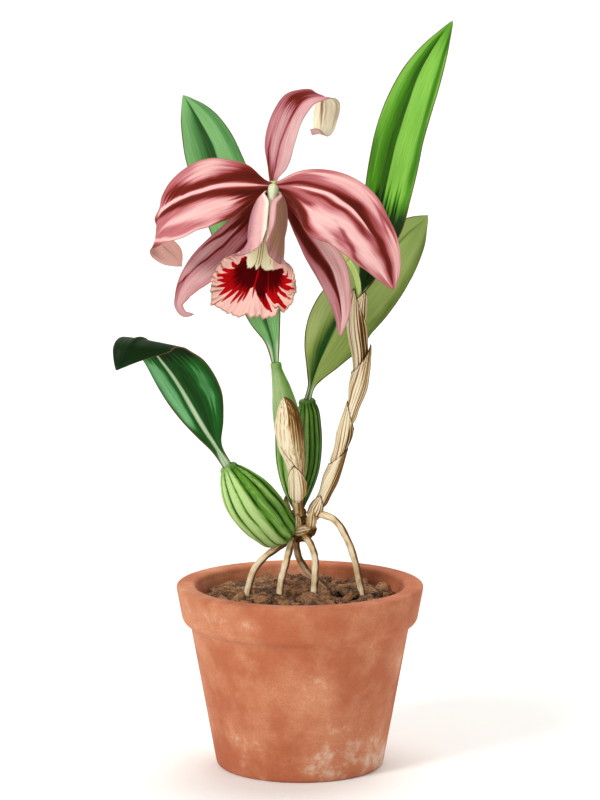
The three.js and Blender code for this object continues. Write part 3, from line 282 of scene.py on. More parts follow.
# The pot, as its solid: foot and rim radius, heights, wall and floor. POT_EDGE is how far its
# softened edges reach, and BARK_PLAY is the gap between the bark and its wall.
POT_HEIGHT = 68
POT_FOOT_RADIUS = 31
POT_RIM_RADIUS = 46
POT_RIM_HEIGHT = 14
POT_RIM_PROUD = 2.6
POT_WALL = 4.5
POT_FLOOR = 5
POT_EDGE = 1.6
DRAIN_HOLES = 3
DRAIN_HOLE_RADIUS = 4
DRAIN_CIRCLE = 15
BARK_TOP = 61
BARK_MOUND = 3
BARK_FOOT = 16.2
BARK_PLAY = 0.5
# The turn between one chip and the next: full turns over the golden ratio squared.
GOLDEN_TURN = 2.39996

# Soft painted bands on a blade, partly its own markings and partly painted shade and painted
# highlights: how much darker each makes it (less than nothing: paler), and its route, as u along
# the blade, v across it, and half width in v (or one to its left, one to its right).
MARKINGS = {
    "sepal_dorsal": [
        (0.35, (0, -0.5, 0.5), (0.07, -0.5, 0.5)),
        (0.4, (0.1, -0.9, 0.1), (0.2, -0.66, 0.06)),
        (0.34, (0.07, -0.05, 0.09), (0.2, 0.02, 0.08), (0.3, 0.14, 0.08), (0.4, 0.24, 0.1),
        (0.47, 0.2, 0.12)),
        # Painted shade across the top fold.
        (0.5, (0.45, -0.3, 0.6), (0.53, -0.3, 0.6)),
        (-0.12, (0.14, -0.28, 0.2), (0.3, -0.2, 0.26), (0.42, -0.25, 0.22)),
        (-0.22, (0.04, 0.68, 0.5), (0.36, 0.72, 0.42)),
        (-0.12, (0.38, 0.65, 0.42), (0.6, 0.6, 0.5)),
        (0.26, (0.56, -0.6, 0.5), (0.63, -0.6, 0.5)),
        (0.4, (0.64, -0.5, 0.16), (0.74, -0.45, 0.13), (0.84, -0.3, 0.1)),
        (0.26, (0.66, -0.1, 0.05), (0.8, 0, 0.05)),
        (0.12, (0.66, 0, 1.3), (0.88, 0, 1.3)),
        (0.24, (0.66, 0.8, 0.2), (0.84, 0.8, 0.2)),
        (-0.3, (0.9, 0, 1.2), (1, 0, 1.2)),
    ],
    "sepal_left": [
        (0.5, (0, 0, 1.3), (0.26, 0, 1.1)),
        (0.52, (0.28, -0.12, 0.1), (0.4, -0.1, 0.08), (0.5, -0.07, 0.06), (0.6, 0, 0.06),
        (0.68, 0.1, 0.07)),
        (0.45, (0.68, 0.12, 0.08), (0.74, 0.35, 0.11), (0.77, 0.75, 0.14)),
        (0.5, (0.28, 0.32, 0.25), (0.4, 0.52, 0.12), (0.5, 0.8, 0.06)),
        (0.35, (0.28, -0.85, 0.12), (0.42, -0.78, 0.08)),
        (-0.1, (0.36, 0.2, 0.22), (0.5, 0.35, 0.3)),
        (-0.16, (0.54, 0.42, 0.32), (0.7, 0.55, 0.28)),
        (-0.18, (0.58, -0.5, 0.4), (0.84, -0.4, 0.45)),
        (-0.14, (0.88, 0, 1.2), (1, 0, 1.2)),
    ],
    "sepal_right": [
        (0.34, (0, 0, 1.3), (0.2, 0, 1.2)),
        (0.6, (0.2, 0.4, 0.5), (0.3, 0.45, 0.4), (0.4, 0.42, 0.34), (0.5, 0.34, 0.3), (0.6, 0.26, 0.22),
        (0.7, 0.18, 0.15), (0.8, 0.1, 0.09), (0.92, 0.06, 0.05)),
        (-0.26, (0.34, -0.5, 0.45), (0.95, -0.45, 0.4)),
        (-0.18, (0.5, -0.1, 0.08), (0.92, -0.12, 0.1)),
        (0.16, (0.55, -0.45, 0.14), (0.85, -0.5, 0.14)),
        (-0.06, (0.6, 0.8, 0.3), (0.95, 0.6, 0.3)),
    ],
    "petal_left": [
        (0.52, (0.01, -0.55, 0.5), (0.1, -0.55, 0.48), (0.15, -0.58, 0.44)),
        (0.45, (0.14, -0.92, 0.12), (0.24, -0.95, 0.1), (0.34, -0.99, 0.06)),
        (0.5, (0.14, -0.26, 0.2), (0.25, -0.15, 0.14), (0.38, -0.06, 0.11), (0.48, 0.06, 0.12),
        (0.6, 0.4, 0.15), (0.7, 0.85, 0.14)),
        (0.46, (0.03, 0.55, 0.42), (0.13, 0.5, 0.36), (0.2, 0.36, 0.22), (0.28, 0.27, 0.14),
        (0.38, 0.3, 0.17), (0.45, 0.48, 0.28), (0.51, 0.66, 0.2)),
        (0.2, (0.05, 0.85, 0.25), (0.17, 0.85, 0.25)),
        (-0.36, (0.25, 0.8, 0.22), (0.33, 0.68, 0.28), (0.38, 0.64, 0.2)),
        (-0.38, (0.19, -0.46, 0.1), (0.26, -0.5, 0.22), (0.36, -0.5, 0.3), (0.46, -0.45, 0.22),
        (0.55, -0.3, 0.14), (0.62, -0.24, 0.08)),
        (-0.28, (0.32, -0.95, 0.1), (0.58, -0.93, 0.08)),
        (-0.95, (0, 0.1, 0.2), (0.06, 0.07, 0.09), (0.35, 0.1, 0.065), (0.45, 0.22, 0.065),
        (0.55, 0.5, 0.09), (0.62, 0.75, 0.12)),
        (-0.42, (0.6, -0.93, 0.1), (0.68, -0.78, 0.12), (0.75, -0.38, 0.16), (0.8, 0, 0.2),
        (0.86, 0.6, 0.24)),
        (0.3, (0.74, -0.95, 0.4), (0.82, -0.7, 0.4), (0.88, -0.5, 0.3)),
        (-0.2, (0.88, -0.2, 0.5), (0.99, -0.2, 0.6)),
        (0.4, (0.86, 0.25, 0.07), (0.96, 0.2, 0.07)),
    ],
    "petal_right": [
        (-0.3, (0.02, -0.85, 0.15), (0.12, -0.85, 0.12)),
        (0.1, (0.04, -0.5, 0.2), (0.22, -0.6, 0.24)),
        (0.4, (0.01, -0.3, 0.13), (0.2, -0.2, 0.11), (0.35, -0.2, 0.13), (0.48, -0.24, 0.15)),
        (0.52, (0.45, -0.2, 0.14), (0.6, -0.16, 0.15), (0.72, -0.12, 0.17), (0.82, -0.08, 0.19),
        (0.95, 0, 0.26)),
        (0.14, (0.38, -0.38, 0.08), (0.62, -0.42, 0.1)),
        (-0.36, (0.26, -0.72, 0.2), (0.4, -0.72, 0.26), (0.5, -0.7, 0.2), (0.56, -0.68, 0.12)),
        (0.2, (0.57, -0.85, 0.18), (0.68, -0.8, 0.16)),
        (-0.32, (0.7, -0.72, 0.3), (0.94, -0.7, 0.3)),
        (-0.85, (0.14, 0.04, 0.04), (0.26, -0.01, 0.055), (0.36, -0.03, 0.07), (0.46, -0.02, 0.055),
        (0.56, -0.02, 0.035)),
        (0.34, (0.2, 0.15, 0.05), (0.42, 0.12, 0.06), (0.62, 0.15, 0.08)),
        (0.52, (0, 0.8, 0.42), (0.1, 0.86, 0.3), (0.2, 0.86, 0.24), (0.3, 0.93, 0.12)),
        (0.25, (0.02, 0.5, 0.14), (0.2, 0.48, 0.1), (0.27, 0.42, 0.05)),
        (-0.46, (0.24, 0.58, 0.1), (0.31, 0.52, 0.18), (0.42, 0.48, 0.22), (0.5, 0.38, 0.18),
        (0.62, 0.44, 0.2), (0.74, 0.5, 0.24), (0.88, 0.45, 0.18)),
        (-0.34, (0.35, 0.76, 0.1), (0.46, 0.84, 0.09), (0.56, 0.95, 0.08)),
        (0.36, (0.42, 0.45, 0.03), (0.52, 0.55, 0.06), (0.6, 0.68, 0.08), (0.67, 0.84, 0.07),
        (0.74, 0.95, 0.05)),
        (-0.12, (0.62, 0.85, 0.2), (0.85, 0.85, 0.2)),
    ],
    "leaf_tall": [
        (1.1, (0, 0, 1.6), (0.33, 0.2, 1.3)),
        (0.2, (0.02, 0, 1.5), (0.2, 0, 1.5)),
        (0.66, (0.3, -0.1, 0.62, 0.05), (0.45, -0.1, 0.56, 0.05), (0.6, -0.15, 0.5, 0.05),
        (0.75, -0.2, 0.44, 0.05), (0.94, -0.28, 0.36, 0.05)),
        (0.3, (0.4, -0.95, 0.2), (0.6, -0.95, 0.12)),
        # Painted shade along the curved right edge.
        (0.5, (0.42, 0.88, 0.14), (0.7, 0.82, 0.12), (0.88, 0.74, 0.14), (0.95, 0.8, 0.2)),
        (0.25, (0.94, 0, 1.2), (1, 0, 1.2)),
    ],
    "leaf_upper_left": [
        (0.4, (0, 0, 1.4), (0.04, 0, 1.2)),
        (0.74, (0.02, -0.02, 0.32, 0.06), (0.16, 0, 0.28, 0.05), (0.4, 0.04, 0.36, 0.05),
        (0.7, 0.13, 0.5, 0.04), (0.85, 0.15, 0.42, 0.03), (0.97, 0.15, 0.24, 0.03)),
        (0.3, (0.2, 0.9, 0.2), (0.7, 0.88, 0.22), (0.97, 0.85, 0.2)),
        (0.14, (0.7, -0.45, 0.3), (0.92, -0.4, 0.3)),
    ],
    "leaf_back": [
        (0.3, (0, 0, 1.3), (0.06, 0, 1.3)),
        (0.8, (0, 0, 0.5, 0.4), (0.1, -0.05, 0.7, 0.05), (0.16, -0.05, 0.66, 0.05),
        (0.28, -0.02, 0.42, 0.05), (0.4, 0, 0.2, 0.05), (0.6, 0, 0.12, 0.04)),
        (0.35, (0.6, -0.02, 0.14, 0.05), (0.98, -0.02, 0.12, 0.05)),
        (-0.2, (0.22, -0.85, 0.34), (0.5, -0.8, 0.34)),
        (0.12, (0.08, 0.5, 0.5), (0.5, 0.5, 0.5)),
        (0.3, (0.2, 0.95, 0.14), (0.95, 0.95, 0.14)),
    ],
    "leaf_lower_left": [
        (-0.54, (0.26, -0.55, 0.3), (0.45, -0.56, 0.38), (0.64, -0.55, 0.4)),
        (0.2, (0.15, -0.6, 0.4), (0.22, -0.6, 0.4)),
        (0.15, (0.2, -0.2, 0.1), (0.62, -0.16, 0.08)),
        (-0.34, (0.3, 0.72, 0.12), (0.42, 0.68, 0.16), (0.54, 0.7, 0.12)),
        (0.24, (0.1, 0.32, 0.28), (0.62, 0.3, 0.28)),
        (0.2, (0.12, 0.98, 0.14), (0.62, 0.98, 0.14)),
        # Painted shade over the part that folds over.
        (0.5, (0.68, 0, 1.8), (1, 0, 1.8)),
        (-0.16, (0.74, -0.5, 0.4), (0.86, -0.2, 0.4)),
    ],
}
# Where each blade's midrib runs: u and v.
RIBS = {
    "sepal_dorsal": ((0, 0), (0.2, 0.03), (0.45, 0.2), (0.6, 0.1), (1, 0)),
    "sepal_left": ((0, -0.12), (0.5, -0.07), (0.68, 0.1), (1, 0.2)),
    "sepal_right": ((0, 0.1), (0.6, 0), (1, 0)),
    "petal_left": ((0, 0.08), (0.35, 0.1), (0.45, 0.22), (0.55, 0.5), (0.62, 0.75), (1, 0.75)),
    "petal_right": ((0, 0.04), (0.26, -0.01), (0.36, -0.03), (1, 0)),
    "leaf_tall": ((0, -0.05), (0.45, -0.1), (0.75, -0.2), (1, -0.3)),
    "leaf_upper_left": ((0, -0.02), (0.16, 0), (0.7, 0.13), (1, 0.16)),
    "leaf_back": ((0, -0.06), (0.35, 0), (1, 0)),
}
# The pale midrib of the folded leaf, from its stalk on: u, v and half width in v.
PALE_RIB = (
    (0, -0.2, 1.3), (0.05, -0.12, 0.8), (0.1, -0.02, 0.34), (0.15, 0.03, 0.19), (0.2, 0.03, 0.14),
    (0.3, 0.02, 0.1), (0.45, -0.01, 0.065), (0.6, -0.03, 0.05), (0.68, -0.03, 0.035),
)


def linear(code):
    """A colour written as six hex digits, in linear light."""
    shares = [int(code[i:i + 2], 16) / 255 for i in (0, 2, 4)]
    return tuple(s / 12.92 if s <= 0.04045 else ((s + 0.055) / 1.055) ** 2.4 for s in shares)


def colour(name, code, description):
    """A colour property with its default given as six hex digits."""
    return bpy.props.FloatVectorProperty(
        name=name, description=description, subtype="COLOR", size=3, min=0, max=1,
        default=linear(code),
    )


def number(name, default, description):
    """A number property that isn't below 0. A length is in millimetres."""
    return bpy.props.FloatProperty(name=name, description=description, default=default, min=0)


def amount(name, default, description):
    """A whole number property."""
    return bpy.props.IntProperty(name=name, description=description, default=default, min=1)


class PotSettings(bpy.types.PropertyGroup):
    """The clay pot."""
    clay: colour("Clay", "B0603C", "Fired clay")
    clay_pale: colour("Pale clay", "CF8B66", "Clay where it is dry and worn")
    lime: colour("Lime", "D9C4AE", "Salts that dry out on the wall")
    ring_depth: number("Ring depth", 0.16, "Depth of the throwing rings, in mm")
    sides: amount("Sides", 160, "Faces round the pot")


class BarkSettings(bpy.types.PropertyGroup):
    """The bark mix."""
    light: colour("Light bark", "A9764A", "Fresh broken bark")
    dark: colour("Dark bark", "4A2E1C", "Weathered outer bark")
    chips: amount("Chips", 190, "Chips on the surface")
    longest: number("Longest chip", 10.5, "Length of the longest chip, in mm")
    seed: amount("Seed", 5, "Seed of the chips' places")


class LeafSettings(bpy.types.PropertyGroup):
    """The leaves."""
    thickness: number("Thickness", 1.5, "Thickness at the midrib, in mm")
    vein_depth: number("Vein depth", 0.05, "Relief of the long veins, in mm")
    rim: colour("Rim", "5C4A2C", "Thin dry edge")
    petiole: colour("Petiole", "B9CFA9", "Pale foot and midrib")


class BulbSettings(bpy.types.PropertyGroup):
    """The pseudobulbs."""
    rib: colour("Rib", "B0CC84", "Crest of a rib")
    flank: colour("Flank", "5A8E28", "Side of a rib")
    # The furrow colour is painted shade, in the furrows and on each bulb's shaded side.
    furrow: colour("Furrow", "102600", "Bottom of a furrow")
    grey: colour("Grey green", "A2B486", "Smooth neck of the middle bulb")
    furrow_depth: number("Furrow depth", 0.075, "Depth of a furrow, as a share of the radius")


class SheathSettings(bpy.types.PropertyGroup):
    """The dry sheaths."""
    cream: colour("Cream", "EADDC0", "Palest fibres")
    tan: colour("Tan", "B69764", "Most fibres")
    brown: colour("Brown", "70491A", "Darkest fibres and edges")
    thickness: number("Thickness", 0.6, "Thickness at the foot, in mm")


class FlowerSettings(bpy.types.PropertyGroup):
    """The petals and sepals."""
    thickness: number("Thickness", 0.8, "Thickness at the midrib, in mm")
    blush: colour("Blush", "F2C0BC", "Palest part of a petal")
    rose: colour("Rose", "B8646A", "Middle tone of a petal")
    # maroon is both the flowers' own dark bands and painted shade in their markings.
    maroon: colour("Maroon", "7C2418", "Dark bands on petals and sepals")
    mauve: colour("Mauve", "BC707A", "Middle tone of a sepal")
    lilac: colour("Lilac", "EACBC6", "Palest part of a sepal")
    reverse: colour("Reverse", "F6EDD2", "Back of a sepal")
    petal_reverse: colour("Petal reverse", "ECB8B0", "Back of a petal")
    umber: colour("Umber", "82573C", "Shaded back of petals and sepals")


class LipSettings(bpy.types.PropertyGroup):
    """The lip."""
    thickness: number("Thickness", 0.7, "Thickness at the tube, in mm")
    frills: amount("Frills", 46, "Frills round the margin of the front lobe")
    frill_depth: number("Frill depth", 0.42, "Depth of a frill, in mm")
    crimson: colour("Crimson", "9C0509", "Rays of the front lobe")
    wine: colour("Wine", "460002", "Heart of the front lobe")
    margin: colour("Margin", "E8B8AE", "Pale frilled margin")
    tan: colour("Tan", "8E6440", "Shaded pleats and the very edge")
    throat: colour("Throat", "FFFBD2", "Throat and keels")
    cream: colour("Cream", "F8ECDC", "Free edge of the left side lobe")
    pink: colour("Pink", "E6B4B0", "Edges of the side lobes")
    # lilac is partly painted shade on the left side lobe's back, and umber is painted shade on the right
    # one's.
    lilac: colour("Lilac", "B47A86", "Back of the left side lobe")
    umber: colour("Umber", "86604A", "Back of the right side lobe")


class StageSettings(bpy.types.PropertyGroup):
    """Floor, lights and camera."""
    paper: colour("Floor", "FBFBF9", "Floor and backdrop")
    distance: bpy.props.FloatProperty(
        name="Distance", description="From the camera to the plant", default=1.1, unit="LENGTH")
    elevation: bpy.props.FloatProperty(
        name="Elevation", description="Camera's height above the horizon",
        default=math.radians(8), subtype="ANGLE")
    seen_height: bpy.props.FloatProperty(
        name="Seen height", description="Height of the picture at the plant",
        default=0.294, unit="LENGTH")
    aim_height: bpy.props.FloatProperty(
        name="Aim height", description="Height that the camera aims at",
        default=0.1365, unit="LENGTH")


def unit(vectors):
    """Vectors at length 1."""
    return vectors / np.linalg.norm(vectors, axis=-1, keepdims=True)


def rising(x, low, high):
    """0 below low, 1 above high, and a smooth S between them."""
    t = np.clip((x - low) / (high - low), 0, 1)
    return t * t * (3 - 2 * t)


def bell(x, centre, width):
    """1 at the centre, falling off as e to the minus square of the distance over the width."""
    return np.exp(-(((x - centre) / width) ** 2))


def wander(x, seed, least=1, most=9, count=6):
    """Smooth irregular numbers between -1 and 1: the mean of a few sines of random speed."""
    random = np.random.default_rng(seed)
    speeds = random.uniform(least, most, count)
    turns = random.uniform(0, FULL_TURN, count)
    return sum(np.sin(speed * x + turn) for speed, turn in zip(speeds, turns)) / count * 1.6


def curve(rows, shares, knots=None):
    """A smooth curve through rows of numbers at shares of its length.

    Between two rows it is the cubic whose slope at each row is the mean of its neighbours'
    slopes, weighted by the opposite spans.
    """
    rows = np.asarray(rows, float)
    if knots is None:
        knots = np.r_[0, np.cumsum(np.linalg.norm(np.diff(rows[:, :3], axis=0), axis=1))]
    span = np.diff(knots)[:, None]
    rise = np.diff(rows, axis=0) / span
    middle = (rise[:-1] * span[1:] + rise[1:] * span[:-1]) / (span[:-1] + span[1:])
    slope = np.concatenate([rise[:1], middle, rise[-1:]])
    along = np.clip(shares, 0, 1) * knots[-1]
    i = np.clip(np.searchsorted(knots, along) - 1, 0, len(knots) - 2)
    t = (along - knots[i])[..., None] / span[i]
    return (
        rows[i] * (2 * t**3 - 3 * t**2 + 1)
        + slope[i] * span[i] * (t**3 - 2 * t**2 + t)
        + rows[i + 1] * (3 * t**2 - 2 * t**3)
        + slope[i + 1] * span[i] * (t**3 - t**2)
    )


def heading(rows, shares):
    """The direction of a smooth curve at shares of its length."""
    near = 0.01
    return unit((curve(rows, shares + near) - curve(rows, shares - near))[..., :3])


def run(rows):
    """The length of a route in mm."""
    rows = np.asarray(rows, float)
    return np.linalg.norm(np.diff(rows[:, :3], axis=0), axis=1).sum()


def across(way):
    """Two unit vectors across each direction: +X made square to it, and the one square to both."""
    east = np.array([1.0, 0, 0])
    side = unit(east - way * (way @ east)[..., None])
    return side, np.cross(way, side)


def round_angle(angle):
    """An angle brought between minus half a turn and half a turn."""
    return (angle + math.pi) % FULL_TURN - math.pi


def patch(index):
    """The four-cornered faces of a grid of point numbers."""
    corners = index[:-1, :-1], index[1:, :-1], index[1:, 1:], index[:-1, 1:]
    return np.stack(corners, -1).reshape(-1, 4)


def strip(a, b):
    """The four-cornered faces between two like rows of point numbers."""
    return np.stack([a[:-1], b[:-1], b[1:], a[1:]], -1)


def wall_solid(front, back, closed=False, **values):
    """A closed thin solid between two like grids, joined along their edges. A closed grid runs
    round into itself and has no side edges. A value is a pair for the two grids, or one for both.
    """
    rows, columns = front.shape[:2]
    index = np.arange(rows * columns).reshape(rows, columns)
    if closed:
        index = np.concatenate([index, index[:, :1]], 1)
    other = index + rows * columns
    sides = [] if closed else [
        strip(index[:, 0], other[:, 0]), strip(index[:, -1], other[:, -1])[:, ::-1]]
    faces = [
        patch(index), patch(other)[:, ::-1], *sides,
        strip(index[0], other[0])[:, ::-1], strip(index[-1], other[-1]),
    ]
    kept = {}
    for name, value in values.items():
        pair = value if isinstance(value, tuple) else (value, value)
        kept[name] = np.concatenate([np.asarray(v, float).reshape(-1, *np.shape(v)[2:]) for v in pair])
    return np.concatenate([front.reshape(-1, 3), back.reshape(-1, 3)]), np.concatenate(faces), kept


def tube_solid(rings, **values):
    """A closed solid of rings of points, with a fan of triangles over each end."""
    rows, columns = rings.shape[:2]
    index = np.arange(rows * columns).reshape(rows, columns)
    index = np.concatenate([index, index[:, :1]], 1)
    foot, head = rows * columns, rows * columns + 1
    feet, heads = np.full(columns, foot), np.full(columns, head)
    fans = [
        np.stack([index[0, :-1], index[0, 1:], feet, feet], -1),
        np.stack([index[-1, 1:], index[-1, :-1], heads, heads], -1),
    ]
    points = np.concatenate([rings.reshape(-1, 3), rings[:1].mean(1), rings[-1:].mean(1)])
    kept = {}
    for name, value in values.items():
        value = np.asarray(value, float)
        whole = np.broadcast_to(value, rings.shape[:2] + value.shape[2:])
        ends = np.stack([whole[0].mean(0), whole[-1].mean(0)])
        kept[name] = np.concatenate([whole.reshape((-1,) + whole.shape[2:]), ends])
    return points, np.concatenate([patch(index)] + fans), kept


def outward(points, faces):
    """Faces turned so that the solid's volume, summed over them, is positive."""
    a, b, c, d = (points[faces[:, k]] for k in range(4))
    volume = (a * np.cross(b, c)).sum() + (a * np.cross(c, d)).sum()
    return faces if volume > 0 else faces[:, ::-1]


def put(name, node, slot, finish, *solids):
    """Makes one object of solids in mm, with their values as attributes, in place of a node."""
    points, faces, kept, count = [], [], {}, 0
    for own_points, own_faces, values in solids:
        points.append(own_points)
        faces.append(outward(own_points, own_faces) + count)
        count += len(own_points)
        for key, value in values.items():
            kept.setdefault(key, []).append(value)
    points, faces = np.concatenate(points), np.concatenate(faces)
    doubled = faces == np.roll(faces, -1, axis=1)
    three = doubled.any(1)
    quads, triangles = faces[~three], faces[three][~doubled[three]].reshape(-1, 3)
    corners = np.concatenate([quads.ravel(), triangles.ravel()]).astype(np.int32)
    starts = np.r_[np.arange(len(quads)) * 4, quads.size + np.arange(len(triangles)) * 3]
    mesh = bpy.data.meshes.new(name)
    mesh.vertices.add(len(points))
    mesh.vertices.foreach_set("co", (points * MM).astype(np.float32).ravel())
    mesh.loops.add(len(corners))
    mesh.loops.foreach_set("vertex_index", corners)
    mesh.polygons.add(len(starts))
    mesh.polygons.foreach_set("loop_start", starts.astype(np.int32))
    mesh.polygons.foreach_set("use_smooth", np.ones(len(starts), bool))
    mesh.update(calc_edges=True)
    for key, parts in kept.items():
        value = np.concatenate(parts).astype(np.float32)
        kind, field = ("FLOAT_VECTOR", "vector") if value.ndim == 2 else ("FLOAT", "value")
        mesh.attributes.new(key, kind, "POINT").data.foreach_set(field, value.ravel())
    mesh.validate()
    mesh.materials.append(finish)
    piece = bpy.data.objects.new(name, mesh)
    bpy.context.scene.collection.objects.link(piece)
    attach(piece, "root")
    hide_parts(node)
    return piece


def times(tint, strength):
    """A colour made darker, or brighter up to 1, by a strength."""
    return tuple(min(1, strength * c) for c in tint)


class Finish:
    """A material being mixed. Each method adds nodes and hands back what comes out of them. Its
    noise follows the piece's stored grain, or where the material is placed, the object, in mm."""

    def __init__(self, name, placed=False):
        self.material = bpy.data.materials.new(name)
        self.material.use_nodes = True
        self.tree = self.material.node_tree
        if placed:
            self.grain = self.stretched(self.node("TexCoord").outputs["Object"], (1000, 1000, 1000))
        else:
            self.grain = self.node("Attribute", attribute_name="grain").outputs["Vector"]

    def feed(self, socket, value):
        """Links a socket, or sets it where the value is the same all over."""
        if isinstance(value, bpy.types.NodeSocket):
            self.tree.links.new(value, socket)
        else:
            socket.default_value = (*value, 1) if socket.type == "RGBA" else value

    def node(self, kind, inputs=(), **settings):
        """A node with its settings, and its inputs given by name or number."""
        made = self.tree.nodes.new("ShaderNode" + kind)
        for key, value in settings.items():
            setattr(made, key, value)
        for key, value in dict(inputs).items():
            self.feed(made.inputs[key], value)
        return made

    def stored(self, name):
        """The number that each point of the piece stores under a name."""
        return self.node("Attribute", attribute_name=name).outputs["Fac"]

    def stretched(self, vector, by):
        """A vector times a number on each axis."""
        return self.node("VectorMath", {0: vector, 1: by}, operation="MULTIPLY").outputs[0]

    def noise(self, scale, detail=3.0, roughness=0.55, distortion=0.0):
        """Noise over the grain, scaled by one number, or by one on each axis."""
        uneven = isinstance(scale, tuple)
        inputs = {
            "Vector": self.stretched(self.grain, scale) if uneven else self.grain,
            "Scale": 1.0 if uneven else scale,
            "Detail": detail, "Roughness": roughness, "Distortion": distortion,
        }
        return self.node("TexNoise", inputs).outputs["Fac"]

    def sum(self, a, b):
        """Two values added."""
        return self.node("Math", {0: a, 1: b}, operation="ADD").outputs[0]

    def spread(self, value, low, high, to_low=0.0, to_high=1.0):
        """A value stretched from one range to another, smooth at both ends."""
        inputs = {"Value": value, "From Min": low, "From Max": high, "To Min": to_low, "To Max": to_high}
        return self.node("MapRange", inputs, interpolation_type="SMOOTHSTEP").outputs["Result"]

    def shifted(self, value, *changes):
        """A value, or the one stored under a name, moved by noises. A change is the noise, the low
        end of its range (the high end is 1 less that), and how far it moves the value at each."""
        value = self.stored(value) if isinstance(value, str) else value
        for noise, low, at_low, at_high in changes:
            value = self.sum(value, self.spread(noise, low, 1 - low, at_low, at_high))
        return value

    def ramp(self, value, *stops):
        """A colour for each value, through stops of place and colour."""
        made = self.node("ValToRGB", {"Fac": value})
        elements = made.color_ramp.elements
        while len(elements) < len(stops):
            elements.new(0.5)
        for element, (at, tint) in zip(elements, stops):
            element.position, element.color = at, (*tint, 1)
        return made.outputs["Color"]

    def mixed(self, share, a, b):
        """Colour a, with a share of colour b."""
        return self.node("Mix", {0: share, 6: a, 7: b}, data_type="RGBA", blend_type="MIX").outputs[2]

    def surface(self, tint, *layers, **inputs):
        """Feeds the shader its colour and other inputs, and hands back the finished material. Each
        layer of relief is a height from 0 to 1 and its depth in mm, on top of the one before."""
        inputs["base_color"] = tint
        for height, depth in layers:
            below = {"Normal": inputs["normal"]} if "normal" in inputs else {}
            relief = {"Height": height, "Distance": depth * MM, "Strength": 1.0, **below}
            inputs["normal"] = self.node("Bump", relief).outputs["Normal"]
        shader = self.tree.nodes["Principled BSDF"]
        for key, value in inputs.items():
            self.feed(shader.inputs[key.replace("_", " ").title().replace("Ior", "IOR")], value)
        return self.material


def leaf_finish(name, greens, settings, turned=0.35):
    """Waxy leaf: long soft streaks, a paler foot and midrib, a thin dry rim. greens are its light,
    middle and dark tones as hex digits, and turned is how much paler its back is."""
    f = Finish(name)
    light, middle, dark = map(linear, greens)
    streaks = f.noise((1.1, 1, 0.05), detail=4)
    tone = f.shifted("tone", (streaks, 0.2, -0.11, 0.11), (f.noise(3.2, detail=2), 0.25, -0.07, 0.07))
    green = f.ramp(tone, (0, light), (0.45, middle), (1, dark))
    green = f.mixed(f.stored("face"), f.mixed(turned, green, light), green)
    pale = f.spread(f.shifted("pale", (streaks, 0.3, -0.08, 0.08)), 0.05, 0.95)
    rim = f.spread(f.shifted("edge", (streaks, 0.3, -0.1, 0.1)), 0.3, 0.08)
    green = f.mixed(rim, f.mixed(pale, green, settings.petiole), settings.rim)
    veins, cells = f.noise((3.4, 1, 0.02), detail=2), f.noise(7.0, detail=1)
    return f.surface(
        green, (veins, settings.vein_depth), (cells, 0.012),
        roughness=f.spread(streaks, 0.2, 0.8, 0.45, 0.6), specular_ior_level=0.1)


def petal_finish(name, pale, middle, reverse, settings):
    """Soft petal: fine streaks from base to tip, tiny cells, and a paler reverse that turns umber
    where its tone paints shade."""
    f = Finish(name)
    streaks = f.noise((2.2, 1, 0.07), detail=5, roughness=0.6)
    broad = f.noise((0.5, 1, 0.05), detail=2)
    veins = f.noise((2.6, 1, 0.05), detail=3, distortion=0.6)
    cells = f.noise(6.0, detail=2)
    tone = f.shifted(
        "tone", (streaks, 0.22, -0.11, 0.11), (broad, 0.25, -0.05, 0.05), (cells, 0.25, -0.07, 0.07))
    light = tuple((a + b) / 2 for a, b in zip(pale, middle))
    front = f.ramp(
        tone, (0.02, pale), (0.24, light), (0.46, middle), (0.74, settings.maroon),
        (1, times(settings.maroon, 0.4)))
    back = f.ramp(tone, (0.42, reverse), (0.98, settings.umber))
    rim = f.spread(f.stored("edge"), 0.3, 0.05, 0.0, 0.55)
    both = f.mixed(rim, f.mixed(f.stored("face"), back, front), settings.umber)
    return f.surface(
        both, (veins, 0.07), (cells, 0.02), roughness=f.spread(cells, 0.3, 0.7, 0.5, 0.65),
        specular_ior_level=0.08, subsurface_weight=0.05, subsurface_radius=(1.0, 0.35, 0.35),
        subsurface_scale=0.0006)


def lip_finish(settings):
    """The lip: a yellow throat with dark lines between its keels and an olive patch of painted shade,
    crimson rays on a pale margin with tan lines of painted shadow in its pleats, and backs to the
    side lobes from cream and pink to lilac, which is partly painted shade, and to the umber of
    painted shade."""
    f = Finish("lip_velvet")
    streaks = f.noise((2.0, 1, 0.1), detail=4)
    cells = f.noise(6.0, detail=2)
    fine = streaks, 0.25, -0.16, 0.16
    rays = f.ramp(
        f.shifted("heart", fine), (0, times(settings.crimson, 1.25)), (0.4, settings.crimson),
        (0.85, settings.wine))
    pleats = f.shifted("pleats", fine)
    pale = f.mixed(f.spread(pleats, 0.25, 0.95, 0.0, 0.9), settings.margin, settings.tan)
    front = f.mixed(f.spread(f.shifted("crimson", fine), 0.38, 0.58), pale, rays)
    yellow = f.ramp(pleats, (0.3, settings.throat), (0.75, settings.tan), (1, times(settings.tan, 0.5)))
    front = f.mixed(f.stored("throat"), front, yellow)
    tone = f.shifted("tone", (streaks, 0.22, -0.1, 0.1), (cells, 0.25, -0.06, 0.06))
    back = f.ramp(
        tone, (0.02, settings.cream), (0.3, settings.pink), (0.6, settings.lilac), (0.95, settings.umber))
    rim = f.spread(f.stored("edge"), 0.4, 0.1, 0.0, 0.6)
    both = f.mixed(rim, f.mixed(f.stored("face"), back, front), settings.tan)
    ridges = f.noise((2.4, 1, 0.1), detail=3)
    return f.surface(
        both, (ridges, 0.08), (cells, 0.02), roughness=f.spread(cells, 0.3, 0.7, 0.5, 0.65),
        specular_ior_level=0.02)


